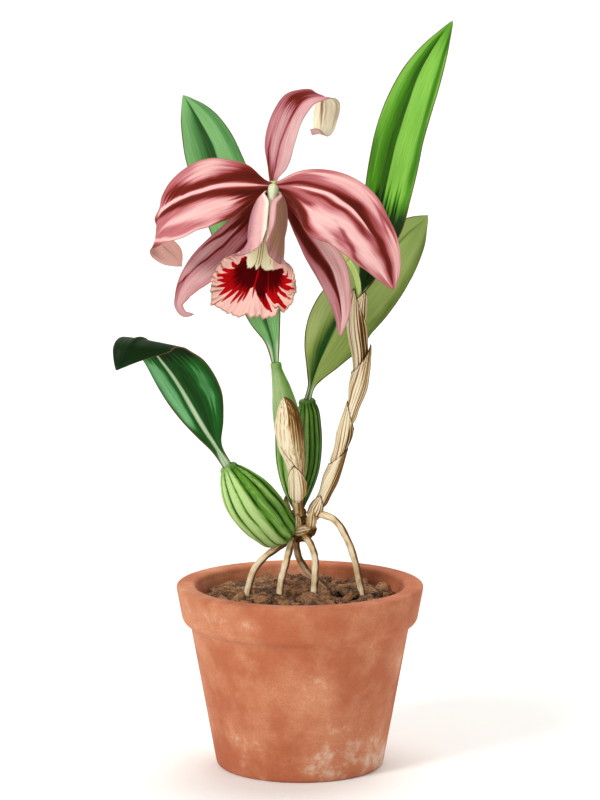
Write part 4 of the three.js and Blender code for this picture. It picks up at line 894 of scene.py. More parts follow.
def bulb_finish(settings):
    """Waxy pseudobulb: pale crests, green flanks, and a nearly black furrow colour for painted shade."""
    f = Finish("pseudobulb_skin")
    specks = f.noise(3.0, detail=3)
    streaks = f.noise((1.6, 1.6, 0.08), detail=4)
    tone = f.shifted("tone", (streaks, 0.2, -0.14, 0.14), (specks, 0.25, -0.07, 0.07))
    green = f.ramp(tone, (0, settings.rib), (0.42, settings.flank), (0.95, settings.furrow))
    grey = f.ramp(tone, (0.1, settings.grey), (0.9, settings.flank))
    ridges = f.noise((2.4, 2.4, 0.12), detail=3)
    return f.surface(
        f.mixed(f.stored("pale"), green, grey), (ridges, 0.07), (specks, 0.03),
        roughness=f.spread(specks, 0.3, 0.7, 0.42, 0.56), specular_ior_level=0.12)


def papery_finish(name, settings, darker=0.0):
    """Dry sheath: long fibres from cream to brown, with fine ridges; its stored tone also holds
    painted shade and painted highlights. darker is added to its tone.
    """
    f = Finish(name)
    fibres = f.noise((2.0, 2.0, 0.05), detail=5, roughness=0.65)
    tone = f.shifted(
        "tone", (fibres, 0.25, -0.3 + darker, 0.3 + darker), (f.noise(3.0), 0.3, -0.05, 0.05))
    straw = f.ramp(
        tone, (0.06, settings.cream), (0.38, settings.tan), (0.72, settings.brown),
        (1, times(settings.brown, 0.45)))
    return f.surface(
        straw, (fibres, 0.14), (f.noise(6.0, detail=2), 0.025),
        roughness=f.spread(fibres, 0.3, 0.7, 0.6, 0.85), specular_ior_level=0.1)


def root_finish():
    """Dry root: chalky cream skin with brown bruises and fine wrinkles round it; its browns also paint
    the shade on its right side.
    """
    f = Finish("root_skin")
    patches, wrinkles = f.noise((0.35, 0.35, 0.12)), f.noise((0.9, 0.9, 2.2))
    fibres = f.noise((2.6, 2.6, 0.12), detail=4)
    tone = f.shifted("tone", (patches, 0.25, -0.3, 0.35), (fibres, 0.25, -0.16, 0.16))
    skin = f.ramp(
        tone, (0, linear("EEE2C8")), (0.42, linear("D2B88A")), (0.72, linear("94662E")),
        (1, linear("553410")))
    return f.surface(
        skin, (wrinkles, 0.06), (fibres, 0.06), roughness=f.spread(fibres, 0.3, 0.7, 0.7, 0.9))


def stem_finish(name, light, dark):
    """Smooth green stem, with faint long streaks."""
    f = Finish(name)
    streaks = f.noise((1.7, 1.7, 0.1))
    tone = f.shifted("tone", (streaks, 0.25, -0.2, 0.2))
    green = f.ramp(tone, (0, linear(light)), (1, linear(dark)))
    return f.surface(
        green, (streaks, 0.04), roughness=f.spread(streaks, 0.3, 0.7, 0.4, 0.55),
        specular_ior_level=0.25)


def clay_finish(settings):
    """Unglazed fired clay: mottled, with pale salts towards the foot, and small pits."""
    f = Finish("fired_clay", placed=True)
    clouds = f.noise(0.045, detail=4, roughness=0.6)
    rings = f.noise((0.03, 0.03, 1.3))
    sand = f.noise(1.6, detail=4, roughness=0.7)
    pits = f.node("TexVoronoi", {"Vector": f.grain, "Scale": 0.55}).outputs["Distance"]
    clay = f.mixed(f.spread(clouds, 0.35, 0.7), settings.clay, settings.clay_pale)
    clay = f.mixed(f.spread(sand, 0.3, 0.75, 0.0, 0.4), clay, times(settings.clay, 0.72))
    height = f.node("SeparateXYZ", {0: f.grain}).outputs["Z"]
    salty = f.sum(f.spread(height, 26, 0, 0.0, 0.42), f.spread(clouds, 0.42, 0.68, -0.4, 0.28))
    salty = f.shifted(salty, (f.noise(0.16, detail=5, roughness=0.7), 0.35, -0.3, 0.3))
    clay = f.mixed(f.spread(salty, 0.15, 0.95, 0.0, 0.7), clay, settings.lime)
    return f.surface(
        clay, (rings, settings.ring_depth), (f.spread(pits, 0.0, 0.22), 0.12), (sand, 0.12),
        roughness=f.spread(sand, 0.3, 0.7, 0.82, 0.95))


def bark_finish(settings):
    """Broken bark: each chip its own brown, with layered grain and crumbly relief."""
    f = Finish("broken_bark")
    layers = f.noise((0.25, 0.5, 2.2), detail=4, distortion=0.8)
    crumbs = f.noise(1.5, detail=5, roughness=0.7)
    tone = f.shifted("tone", (layers, 0.25, -0.3, 0.3), (crumbs, 0.3, -0.22, 0.22))
    brown = f.ramp(tone, (0, settings.light), (0.55, settings.dark), (1, times(settings.dark, 0.4)))
    return f.surface(
        brown, (crumbs, 0.5), (layers, 0.4), roughness=f.spread(crumbs, 0.3, 0.7, 0.8, 0.95))


def band(u, v, route, ends=None):
    """1 along a route, falling off beside it and past its two ends. ends is u where those fade."""
    us, vs, left, right = [*np.transpose(route), np.transpose(route)[-1]][:4]
    ends = u if ends is None else ends
    fade = rising(ends, us[0] - 0.08, us[0] + 0.04) * (1 - rising(ends, us[-1] - 0.05, us[-1] + 0.09))
    off = v - np.interp(u, us, vs)
    half = np.where(off < 0, np.interp(u, us, left), np.interp(u, us, right))
    return np.exp(-(np.abs(off / half) ** 2.6)) * fade


def painted(u, v, base, bands, seed):
    """How dark each point of a blade is: a base, plus each band at its own strength. The bands
    waver a little, and their ends are feathered into strokes that run along the blade."""
    ends = u + 0.05 * wander(v * 13, seed, 1, 5)
    aside = v + 0.025 * wander(u * 7 + 0.6 * v, seed + 1) + 0.012 * wander(v * 9 + 5 * u, seed + 2)
    return base + sum(strength * band(u, aside, route, ends) for strength, *route in bands)


def blade_grid(rows, columns):
    """u along a blade, and v across it: part even steps and part their sine, so that the lines
    draw together towards both edges."""
    w = np.linspace(-1, 1, columns)[None, :]
    return np.linspace(0, 1, rows)[:, None], 0.7 * w + 0.3 * np.sin(w * math.pi / 2)


def blade_shell(name, middle, normal, thickness, keel, u, v, half, grain, base, seed, pale):
    """A blade's two faces, each half its thickness off its middle. The thickness falls towards
    both edges as |v| to the power 2.2, and the back also stands out by the keel."""
    thick = thickness * (0.3 + 0.7 * (1 - np.abs(v) ** 2.2))
    still = np.zeros_like(half)
    grain = np.stack([grain[0] + still, still, grain[1] + still], -1)
    return wall_solid(
        middle + normal * (thick / 2)[..., None], middle - normal * (thick / 2 + keel)[..., None],
        grain=(grain, grain + [40, 7, 0]), tone=painted(u, v, base, MARKINGS[name], seed),
        edge=(1 - np.abs(v)) * half, face=(still + 1, still), pale=pale + still,
    )


def blade_solid(name, stations, grid, thickness, crease, wave, base, seed):
    """A leaf, sepal or petal.

    At each station the cross-section is a parabola that rises to both edges by the dish, with a
    crease along the midrib: centre + sideways v half + facing (dish half v v - crease bell(v -
    rib)). The edges wave by the wave times |v| cubed, and the blade thins towards them.
    """
    u, v = blade_grid(*grid)
    at = curve(stations, u[:, 0])
    way = heading(stations, u[:, 0])
    sideways = unit(np.cross(way, at[:, 5:8]))
    facing = unit(np.cross(sideways, way))
    along = u * run(stations)
    pointed = np.sqrt(np.clip((1 - u) * run(stations) / 1.2, 0.02, 1))
    half = np.maximum(0.05, np.where(v < 0, at[:, 3:4], at[:, 4:5]) * pointed)
    rib = v - np.interp(u, *np.transpose(RIBS[name]))
    waves = wave * np.abs(v) ** 3 * wander(along / 9 + 2 * np.sign(v), seed)
    lift = at[:, 8:9] * half * v**2 + (waves - crease * bell(rib, 0, 0.16)) * np.minimum(1, half / 4)
    middle = at[:, None, :3] + sideways[:, None] * (v * half)[..., None]
    middle = middle + facing[:, None] * lift[..., None]
    keel = 0.35 * thickness * bell(rib, 0, 0.09) * np.minimum(1, half / 3)
    pale = (1 - rising(u, 0.03, 0.11)) * (0.25 + 0.75 * rising(np.abs(v), 0.35, 0.8))
    return blade_shell(
        name, middle, face_normal(middle), thickness * np.clip(half / 2, 0.15, 1), keel, u, v, half,
        (v * np.max(at[:, 3:5]), along), base, seed, pale)


def face_normal(middle):
    """Unit vectors square to a grid of points, on the side from which v runs to the right."""
    along, sideways = np.gradient(middle, axis=0), np.gradient(middle, axis=1)
    return unit(np.cross(sideways, along))


def folded_leaf_solid(thickness):
    """The folded leaf: each cross-section is the parabola through its left edge (v = -1), its
    midrib (v = 0) and its right edge (v = 1)."""
    u, v = blade_grid(*FOLDED_GRID)
    at = curve(LOWER_LEFT_LEAF, u[:, 0])
    left, rib, right = (at[:, None, k:k + 3] for k in (0, 3, 6))
    q = v[..., None]
    middle = left * q * (q - 1) / 2 + rib * (1 - q * q) + right * q * (q + 1) / 2
    half = np.linalg.norm(right - left, axis=-1) / 2 + 0 * v
    normal = face_normal(middle)
    middle = middle - normal * (0.8 * bell(v, 0, 0.12) * np.clip(half / 4, 0, 1))[..., None]
    along = u * run(np.asarray(LOWER_LEFT_LEAF)[:, 3:6])
    return blade_shell(
        "leaf_lower_left", middle, normal, thickness * np.clip(half / 2, 0.2, 1), 0, u, v, half,
        (v * 11, along), 0.6, 14, band(u, v, PALE_RIB))


def rod_solid(stations, rows, columns, relief=None, tone=0.3, rounding=0.0, **values):
    """A round piece: rings of the stations' radius, times a relief of u and the angle.

    Its ends are rounded by a quarter circle over the rounding's share of its length. tone and
    every other value is a number or a function of u and the angle.
    """
    u = np.linspace(0, 1, rows)[:, None]
    angle = np.linspace(0, FULL_TURN, columns, endpoint=False)[None, :]
    at = curve(stations, u[:, 0])
    side, front = across(heading(stations, u[:, 0]))
    radius = at[:, 3:4] * (1 if relief is None else relief(u, angle)) + 0 * angle
    if rounding:
        ends = np.clip(np.minimum(u, 1 - u) / rounding, 0, 1)
        radius = radius * np.sqrt(1 - (1 - ends) ** 2 * 0.97)
    spoke = side[:, None] * np.cos(angle)[..., None] + front[:, None] * np.sin(angle)[..., None]
    rings = at[:, None, :3] + spoke * radius[..., None]
    straight = [radius * np.cos(angle), radius * np.sin(angle), u * run(stations) + 0 * angle]
    kept = {"tone": tone, **values}
    kept = {k: f(u, angle) if callable(f) else f for k, f in kept.items()}
    return tube_solid(rings, grain=np.stack(straight, -1), **kept)


def sheath_solid(stations, shape, thickness, seed, shade, stripes=0.42, scoop=0.0):
    """A dry sheath round a shoot: it clasps the shoot at its foot, swells, draws in again, and its
    mouth slants from the throat, which hugs the shoot, up to a pointed tip on one side. Its wall
    thins towards the mouth, and its fibres, which stand up as fine ridges, draw together into the
    tip. shade is how much painted shade darkens its right side, and its front left is paler as a
    painted highlight. stripes is how strongly its fibres stand out, and scoop how much higher up
    the shoot its foot is round the back than under its tip."""
    rows, columns = SHEATH_GRID
    foot, swell, full, throat, tip, widen, bearing, closing = shape
    angle = np.linspace(0, FULL_TURN, columns, endpoint=False)[None, :]
    off = round_angle(angle - math.radians(bearing))
    beside = np.abs(off) / math.pi
    pointed = 0.35 * ((1 + np.cos(off)) / 2) ** 2 + 0.65 * (1 - beside) ** 1.9
    top = throat + (tip - throat) * pointed + 0.004 * wander(angle * 3, seed, 1, 8) * (1 - pointed)
    rise = np.linspace(0, 1, rows)[:, None]
    low = foot + scoop * (1 - np.cos(off)) / 2
    share = low + (top - low) * rise
    at = curve(stations, share)
    side, front = across(heading(stations, share))
    spoke = side * np.cos(angle)[..., None] - front * np.sin(angle)[..., None]
    near_tip = np.clip((share - foot) / (tip - foot), 0, 1)
    fibre = off / (1.04 - 0.72 * near_tip**1.5)
    ridges = 0.07 * np.cos(22 * fibre + 2 * wander(fibre, seed + 1)) * rising(rise, 0, 0.2)
    swollen = rising(share, swell, full) * (1 - closing * rising(share, full, tip))
    swollen = swollen * (1 - 0.5 * rise**3 * (1 - pointed))
    clasp = 0.25 + 0.75 * rising(rise, 0, 0.12)
    inner = at[..., 3] + SHEATH_PLAY * clasp + widen * swollen
    outer = inner + thickness * (1 - 0.55 * rise) * clasp + ridges
    lie = fibre * 3.2
    grain = np.stack([lie, np.cos(lie), share * run(stations) + seed * 31], -1)
    to_mouth = (top - share) * run(stations)
    rims = 0.8 * bell(to_mouth, 0, 0.4) - 0.2 * bell(to_mouth, 1, 0.5) + 0.2 * bell(rise, 0, 0.05)
    # Painted shade on the right side, a painted highlight on the front left, and uneven tone.
    shaded = shade * rising(np.cos(angle), 0.5 - shade, 0.85 - shade)
    shaded = shaded - 0.14 * bell(np.cos(angle - 2.4), 1, 0.6) + 0.1 * wander(angle * 2, seed + 2)
    striped = stripes * np.cos(15 * fibre + 2 * wander(fibre * 2, seed + 1) + 2.6)
    tone = 0.26 + rims + 0.3 * bell(near_tip, 1, 0.12) + shaded + striped
    centre = at[..., :3]
    return wall_solid(
        centre + spoke * outer[..., None], centre + spoke * inner[..., None], closed=True,
        grain=grain, tone=(tone, tone + 0.2),
    )


def lip_solid(settings):
    """The lip. v runs from one free edge round the back to the other, u from the tube to the
    margin. Each line of v goes down the tube, less far towards the free edges, then swings out
    to its own place on the margin. The front lobe is ruffled and notched, and frills that follow
    its rays deepen towards its margin. Keels stand on the floor of the throat."""
    rows, columns = LIP_GRID
    u = 1 - (1 - np.linspace(0, 1, rows)[:, None]) ** 1.25
    w = np.linspace(-1, 1, columns)[None, :]
    v = 0.4 * w + 0.6 * w**3
    share = (1 - LIP_EDGE_LEAVES_BY * v * v) * np.minimum(1, u / LIP_TUBE_SHARE)
    at = curve(LIP_TUBE, share)
    way = heading(LIP_TUBE, share)
    side, front = across(way)
    angle = np.radians(LIP_ROLL - LIP_OPENING * (1 - rising(share, 0.02, 0.4))) * v
    wall = at[..., :3] + at[..., 3:4] * (
        side * np.sin(angle)[..., None] - front * np.cos(angle)[..., None])
    t = np.maximum(0, (u - LIP_TUBE_SHARE) / (1 - LIP_TUBE_SHARE)) + 0 * v
    edge = curve(LIP_MARGIN, (v + 1) / 2, np.arange(len(LIP_MARGIN), dtype=float))
    gone = edge - wall
    pull = LIP_LEAVING_PULL + LIP_SIDE_PULL * bell(np.abs(v), 0.5, 0.17)
    leaving = way * pull[..., None] * np.linalg.norm(gone, axis=-1, keepdims=True)
    late = LIP_SWING_POWER + LIP_CORNER_SWING * bell(np.abs(v), 0.51, 0.1)
    s = np.stack([t**late, t, t], -1)
    middle = (
        wall * (2 * s**3 - 3 * s**2 + 1) + leaving * (s**3 - 2 * s**2 + s)
        + edge * (3 * s**2 - 2 * s**3) + gone * (s**3 - s**2)
    )
    ray = -0.09 + (v + 0.09) * np.exp(1.2 * (0.7 - t))
    fan = 1 - rising(np.abs(v), 0.42, 0.56)
    frilly = fan * (0.3 + 0.7 * rising(np.abs(v + 0.02), 0.1, 0.3)) * (0.7 + 0.5 * wander(ray * 30, 4))
    phase = FULL_TURN * settings.frills * (ray + 0.008 * wander(ray * 16, 3, 1, 5))
    frill = np.cos(phase) * frilly
    ruffle = -LIP_RUFFLE * np.cos(14 * math.pi * v + 0.8 * wander(v * 9, 12)) * (1 - v**8)
    middle[..., 1] += ruffle * t**3 + settings.frill_depth * frill * t**2.2
    gone[..., 1] = 0
    notches = sum(deep * bell(v, at_v, wide) for at_v, wide, deep in LIP_NOTCHES)
    uneven = 0.35 * frill + 0.35 * fan * wander(v * 40, 8, 1, 6) - notches
    scallop = 0.35 * ruffle * t**3 + uneven * t**7
    middle = middle + unit(gone) * scallop[..., None]
    normal = -face_normal(middle)
    thick = settings.thickness * (1 - 0.5 * t) * (0.6 + 0.4 * (1 - v**8))
    keels = sum(bell(v, k, LIP_KEEL_WIDTH) * high for k, high in LIP_KEELS)
    keels = keels * rising(u, 0.1, 0.3) * (1 - rising(t, 0.25, 0.42))
    inside = middle + normal * (thick / 2 + keels)[..., None]
    outside = middle - normal * (thick / 2)[..., None]
    still = np.zeros_like(t)
    grain = np.stack([ray * 60, still, u * 45 + still], -1)
    margin = np.minimum((1 - u) * 26, (1 - np.abs(v)) * 18)
    return wall_solid(
        inside, outside, grain=(grain, grain + [90, 7, 0]), edge=margin + still,
        face=(still + 1, still), **lip_marks(v, t, phase, frilly),
    )


def lip_marks(v, t, phase, frilly):
    """The lip's markings over v and t: the crimson with its rays, their dark heart, the yellow
    throat, dark lines between the keels, an olive patch of painted shade in the throat, tan lines
    of painted shadow in the pleats, and the tone of the side lobes' backs, which paints shade near
    the outer edge of the left one and over most of the right one."""
    top = np.interp(v, *np.transpose(LIP_CRIMSON_TOP))
    solid = 1 - rising(t, *(np.interp(v, *np.transpose(LIP_SOLID_END)) + k for k in (-0.03, 0.04)))
    rays = []
    for v_root, t_root, v_tip, t_tip, half in LIP_RAYS:
        gone = np.clip((t - t_root) / (t_tip - t_root), 0, 1)
        off = (v - v_root - (v_tip - v_root) * gone**1.15) / (half * (1.05 - 0.93 * gone**2.2))
        rays.append(np.exp(-(off**4)) * rising(t, t_root - 0.12, t_root) * (t < t_tip))
    lobe = 1 - rising(np.abs(v + 0.015), 0.45, 0.47)
    crimson = np.maximum(solid, np.max(rays, axis=0)) * rising(t, top - 0.012, top + 0.012) * lobe
    heart = 1.1 * (1 - rising(t, 0.5, 0.82)) - 0.4 * rising(np.abs(v + 0.02), 0.2, 0.36)
    heart = heart + 0.5 * rays[LIP_DARK_RAY] - 0.9 * rays[LIP_MIDDLE_RAY]
    heart = heart + 0.25 * wander(v * 50, 9, 1, 6) - 0.3 * bell(v, 0.09, 0.016)
    throat = (1 - rising(t, top - 0.015, top + 0.005)) * (1 - rising(v, 0.13, 0.2))
    throat = throat * rising(v, -0.52, -0.44)
    between = sum(bell(v, at, LIP_LINE_WIDTH) for at in LIP_LINES)
    # The second term is an olive patch of painted shade in the throat.
    lines = between * (1 - rising(t, 0.26, 0.34)) + 0.5 * bell(v, 0.12, 0.03) * bell(t, 0.24, 0.08)
    # pleats: tan lines of painted shadow in the valleys of the frills near the margin.
    pleats = rising(-np.cos(phase), 0.1, 0.8) * rising(t, 0.62, 0.92) * np.clip(1.5 * frilly, 0, 1)
    # Side lobes' backs: left from cream to lilac, the lilac partly painted shade; right mostly painted
    # shade in umber.
    left = 0.05 + 0.28 * rising(v, -0.97, -0.87) + 0.34 * rising(v, -0.86, -0.62)
    right = 0.33 + 0.64 * (1 - rising(v, 0.87, 0.915)) + 0.12 * wander(v * 30 + t, 5)
    right = right - 0.12 * (1 - rising(v, 0.58, 0.66)) - 0.2 * rising(t, 0.6, 1)
    marks = {
        "crimson": crimson, "heart": heart, "throat": throat, "pleats": pleats + lines,
        "tone": np.where(v < 0, left, right),
    }
    return {name: value + 0 * t for name, value in marks.items()}


def wall_radius(z):
    """Radius of the pot's tapered outside at a height."""
    return POT_FOOT_RADIUS + (POT_RIM_RADIUS - POT_RIM_PROUD - POT_FOOT_RADIUS) / POT_HEIGHT * z


def bevelled(corners, reach):
    """A profile with each inner corner replaced by a quadratic arc that starts reach before it."""
    corners = np.asarray(corners, float)
    made = [corners[:1]]
    for before, corner, after in zip(corners[:-2], corners[1:-1], corners[2:]):
        back, on = before - corner, after - corner
        near = min(reach, np.hypot(*back) / 2.2, np.hypot(*on) / 2.2)
        a = corner + back / np.hypot(*back) * near
        b = corner + on / np.hypot(*on) * near
        t = np.linspace(0, 1, 5)[:, None]
        made.append(a * (1 - t) ** 2 + corner * 2 * t * (1 - t) + b * t**2)
    return np.concatenate(made + [corners[-1:]])


def turned_solid(profile, sides, **values):
    """A profile of radius and height spun round the pot's axis."""
    angle = np.linspace(0, FULL_TURN, sides, endpoint=False)[None, :]
    radius = profile[:, :1] + 0 * angle
    rings = np.stack([radius * np.cos(angle), radius * np.sin(angle), profile[:, 1:] + 0 * angle], -1)
    return tube_solid(rings, **values)


def pot_solid(settings):
    """The pot: its profile from the middle of the foot, up the wall, over the rim and down the
    inside, with softened edges. The rim band starts with a slope."""
    foot_of_band = POT_HEIGHT - POT_RIM_HEIGHT
    corners = [
        (0.5, 0),
        (POT_FOOT_RADIUS, 0),
        (wall_radius(foot_of_band) - 0.3, foot_of_band - 1.5),
        (wall_radius(foot_of_band) + POT_RIM_PROUD, foot_of_band + 0.5),
        (POT_RIM_RADIUS, POT_HEIGHT),
        (wall_radius(POT_HEIGHT) - POT_WALL, POT_HEIGHT),
        (wall_radius(POT_FLOOR) - POT_WALL, POT_FLOOR),
        (0.5, POT_FLOOR),
    ]
    return turned_solid(bevelled(corners, POT_EDGE), settings.sides)


def cut_drains(pot):
    """Cuts the drain holes through the floor of the pot, and keeps its edges crisp."""
    bpy.context.view_layer.objects.active = pot
    for k in range(DRAIN_HOLES):
        turn = FULL_TURN * k / DRAIN_HOLES + math.pi / 2
        place = (DRAIN_CIRCLE * math.cos(turn) * MM, DRAIN_CIRCLE * math.sin(turn) * MM, 0)
        bpy.ops.mesh.primitive_cylinder_add(
            vertices=40, radius=DRAIN_HOLE_RADIUS * MM, depth=4 * POT_FLOOR * MM, location=place)
        drill = bpy.context.object
        cut = pot.modifiers.new("drain", "BOOLEAN")
        cut.object, cut.operation, cut.solver = drill, "DIFFERENCE", "EXACT"
        bpy.context.view_layer.objects.active = pot
        bpy.ops.object.modifier_apply(modifier=cut.name)
        bpy.data.objects.remove(drill)
    pot.data.set_sharp_from_angle(angle=math.radians(35))


def bark_solids(settings):
    """The bark: a mounded bed with a lumpy top, and chips laid over it in a spiral. A chip is a
    rounded box whose corners are knocked about, turned at random and pressed off the wall."""
    random = np.random.default_rng(settings.seed)
    widest = wall_radius(BARK_TOP) - POT_WALL - BARK_PLAY
    radii = np.linspace(widest, 1, 26)
    mound = BARK_TOP + BARK_MOUND * (1 - (radii / widest) ** 2) - 1.2
    profile = np.concatenate([
        [(1, BARK_FOOT), (wall_radius(BARK_FOOT) - POT_WALL - BARK_PLAY, BARK_FOOT)],
        np.stack([radii, mound], -1),
    ])
    points, faces, values = turned_solid(profile, 90, tone=0.95)
    x, y, z = points.T
    z += 0.8 * wander(x * 0.6 + y * 0.35, 2) * (z > BARK_TOP - 2)
    values["grain"] = points.copy()
    count = settings.chips
    lobes = np.linspace(0, FULL_TURN, 10, endpoint=False)
    girths = np.array([0.72, 1, 1, 0.72])[:, None]
    heights = np.array([-1, -0.8, 0.8, 1])[:, None]
    x, y = (girths * np.sign(side) * np.abs(side) ** 0.55 for side in (np.cos(lobes), np.sin(lobes)))
    chip, chip_faces, _ = tube_solid(np.stack([x, y, heights + 0 * x], -1))
    sizes = np.stack([
        random.uniform(0.45, 1, count) * settings.longest / 2,
        random.uniform(0.3, 0.62, count) * settings.longest / 2,
        random.uniform(0.1, 0.2, count) * settings.longest,
    ], -1)
    shapes = chip[None] * sizes[:, None] + random.normal(0, 0.28, (count, len(chip), 3))
    tilt = random.normal(0, 0.3, (count, 2))
    spin = random.uniform(0, FULL_TURN, count)
    k = np.arange(count)
    reach = (widest - 2.5) * np.sqrt((k + 0.5) / count)
    turn = k * GOLDEN_TURN + random.normal(0, 0.08, count)
    height = BARK_TOP + BARK_MOUND * (1 - (reach / widest) ** 2) + random.uniform(-0.9, 1.1, count)
    centre = np.stack([reach * np.cos(turn), reach * np.sin(turn), height], -1)
    laid = turn_about(shapes, tilt, spin) + centre[:, None]
    out = np.hypot(laid[..., 0], laid[..., 1])
    pressed = np.minimum(1, (widest - 0.2) / out)
    laid[..., :2] *= pressed[..., None]
    tones = np.repeat(random.uniform(0.05, 0.6, count), len(chip))
    grain = shapes + random.uniform(0, 400, (count, 1, 3))
    all_faces = chip_faces[None] + (k * len(chip))[:, None, None]
    kept = {"tone": tones, "grain": grain.reshape(-1, 3)}
    return (points, faces, values), (laid.reshape(-1, 3), all_faces.reshape(-1, 4), kept)


def turn_about(shapes, tilt, spin):
    """Shapes turned about X and Y by their tilt, then about Z by their spin, as whole arrays."""
    def turned(a, b, angle):
        """Two coordinates turned by an angle, from the first towards the second."""
        return a * np.cos(angle) - b * np.sin(angle), a * np.sin(angle) + b * np.cos(angle)

    x, y, z = np.moveaxis(shapes, -1, 0)
    y, z = turned(y, z, tilt[:, :1])
    z, x = turned(z, x, tilt[:, 1:])
    x, y = turned(x, y, spin[:, None])
    return np.stack([x, y, z], -1)


def furrowed(ribs, depth, seed, shade, end):
    """A bulb's relief and tone as functions of u and the angle: convex ribs with narrow furrows
    between them, uneven in place and depth, which fade at the foot and towards an end."""
    def furrow(u, angle):
        """The crest, the root of |cos| of half the ribs' phase, and how far it has faded."""
        phase = ribs * (angle + 0.05 * wander(angle, seed, 1, 3) + 0.03 * np.sin(5 * u + seed))
        return np.abs(np.cos(phase / 2)) ** 0.5, rising(u, 0, 0.12) * (1 - rising(u, end - 0.15, end))

    def relief(u, angle):
        """Furrows whose depth wanders round the bulb, with crests that stand out."""
        crest, fade = furrow(u, angle)
        uneven = 1 + 0.35 * wander(angle * 2, seed + 1)
        return 1 - depth * uneven * (1 - crest) * fade + 0.35 * depth * fade

    def tone(u, angle):
        """Painted shade in broken dark lines down the furrows, on the right side, and over the whole
        bulb by shade; a painted highlight in front; dark ends and pale crests.
        """
        crest, fade = furrow(u, angle)
        broken = 0.52 - 0.15 * wander(angle * 2, seed + 3) + 0.3 * wander(6 * u + 9 * angle, seed + 4, 1, 4)
        lines = (broken * (1 - rising(crest, 0.25, 0.66)) + 0.18 * (1 - rising(crest, 0.5, 0.95))) * fade
        shaded = 0.5 * bell(np.cos(angle + 0.35), 1, 0.55) - 0.12 * bell(np.sin(angle - 0.2), -1, 0.5)
        ends = 0.25 * bell(u, 0, 0.1) + 0.3 * bell(u, 1, 0.07)
        crests = (-0.1 * np.cos(ribs * angle / 2 + seed) - 0.12 * rising(crest, 0.8, 1)) * fade
        return shade + lines + shaded + ends + crests + 0.12 * wander(angle * 3 + 2 * u, seed + 2)

    return relief, tone


def collar(relief):
    """A relief with a small raised ring where the leaf joins."""
    def collared(u, angle):
        """A bell for the ring, less a bell for the groove below it."""
        return relief(u, angle) * (1 + 0.07 * bell(u, 0.982, 0.01) - 0.05 * bell(u, 0.955, 0.015))

    return collared


class ORCHID_OT_pot(bpy.types.Operator):
    """Turn the clay pot and drill its drain holes"""
    bl_idname = "orchid.pot"
    bl_label = "Clay pot"

    def execute(self, context):
        settings = context.scene.orchid_pot
        clay = clay_finish(settings)
        cut_drains(put("clay_pot", "pot", "terracotta", clay, pot_solid(settings)))
        # The broken clay under the bark keeps its solid and takes the pot's material.
        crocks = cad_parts["drainage_crocks"]
        crocks.data.materials.clear()
        crocks.data.materials.append(clay)
        return {"FINISHED"}


class ORCHID_OT_bark(bpy.types.Operator):
    """Fill the pot with broken bark"""
    bl_idname = "orchid.bark"
    bl_label = "Bark mix"

    def execute(self, context):
        settings = context.scene.orchid_bark
        put("bark_chips", "bark_mix", "bark", bark_finish(settings), *bark_solids(settings))
        return {"FINISHED"}


class ORCHID_OT_roots(bpy.types.Operator):
    """Grow the roots and the rhizome that they leave"""
    bl_idname = "orchid.roots"
    bl_label = "Roots and rhizome"

    def execute(self, context):
        skin = root_finish()
        for k, route in enumerate(ROOTS):
            def knobbly(u, angle, k=k):
                """Slow lumps along the root, and smaller ones round it."""
                knobs = 0.07 * wander(u * 22 + angle, 20 + k, 0.5, 3)
                return 1 + knobs + 0.05 * wander(2 * angle + 6 * u, 30 + k)

            def tone(u, angle, k=k):
                """Darker on the right as painted shade, and at the foot and in slow patches."""
                shaded = 0.7 * rising(np.cos(angle + 0.1), 0.1, 0.75)
                return 0.32 + shaded + 0.3 * (1 - rising(u, 0, 0.12)) + 0.14 * wander(u * 9 + k, 40 + k)

            stations = [(*place, ROOT_RADIUS) for place in route]
            solid = rod_solid(stations, 90, 26, knobbly, tone, rounding=0.03)
            put(f"root_strand_{k + 1}", f"root_{k + 1}", "root", skin, solid)
        papery = papery_finish("rhizome_scales", context.scene.orchid_sheath, 0.16)
        put("rhizome_knot", "rhizome", "rhizome", papery, *rhizome_solids())
        return {"FINISHED"}


def rhizome_solids():
    """The rhizome: limbs ringed by overlapping scales, each ring a slope that ends in a step,
    and small pointed bracts with a flared foot."""
    solids = []
    for k, limb in enumerate(RHIZOME_LIMBS):
        def ring(u, angle, k=k, limb=limb):
            """How far up its scale a place is, 0 to 1: the scales are 2.1 mm long and uneven."""
            return (u * run(limb) / 2.1 + 0.22 * np.sin(angle + k) + 0.1 * wander(angle, k)) % 1

        def relief(u, angle, ring=ring):
            """A scale draws in by its square, over fine ribs."""
            return 1 - 0.1 * ring(u, angle) ** 2 + 0.05 + 0.02 * np.cos(24 * angle)

        def tone(u, angle, ring=ring):
            """Darker on one side as painted shade, and where a scale ends."""
            under = 0.45 * rising(np.cos(angle + 0.4), 0.2, 0.8)
            return 0.34 + under + 0.55 * bell(ring(u, angle), 1, 0.22) + 0.3 * bell(ring(u, angle), 0, 0.08)

        solids.append(rod_solid(limb, 60, 50, relief, tone, rounding=0.12))
    for k, (foot, tip, wide, widest) in enumerate(RHIZOME_BRACTS):
        foot, tip = np.array(foot, float), np.array(tip, float)
        stations = [(*foot, wide), (*(0.6 * foot + 0.4 * tip), widest), (*tip, 0.3)]

        def relief(u, angle, k=k):
            """A narrow foot, and ribs that turn a little."""
            ridged = 0.04 * np.cos(14 * angle + 3 * u) + 0.05 * wander(angle + u, k)
            return 1 + ridged - 0.25 * bell(u, 0, 0.12)

        def tone(u, angle, k=k):
            """Brown stripes, with a dark foot and tip."""
            striped = 0.34 * rising(np.cos(11 * angle + 3 * u + 2.6), 0, 0.8) + 0.12 * wander(2 * angle, k)
            return 0.08 + striped + 0.45 * rising(u, 0.8, 1) + 0.4 * bell(u, 0, 0.15)

        solids.append(rod_solid(stations, 36, 42, relief, tone, rounding=0.08))
    return solids


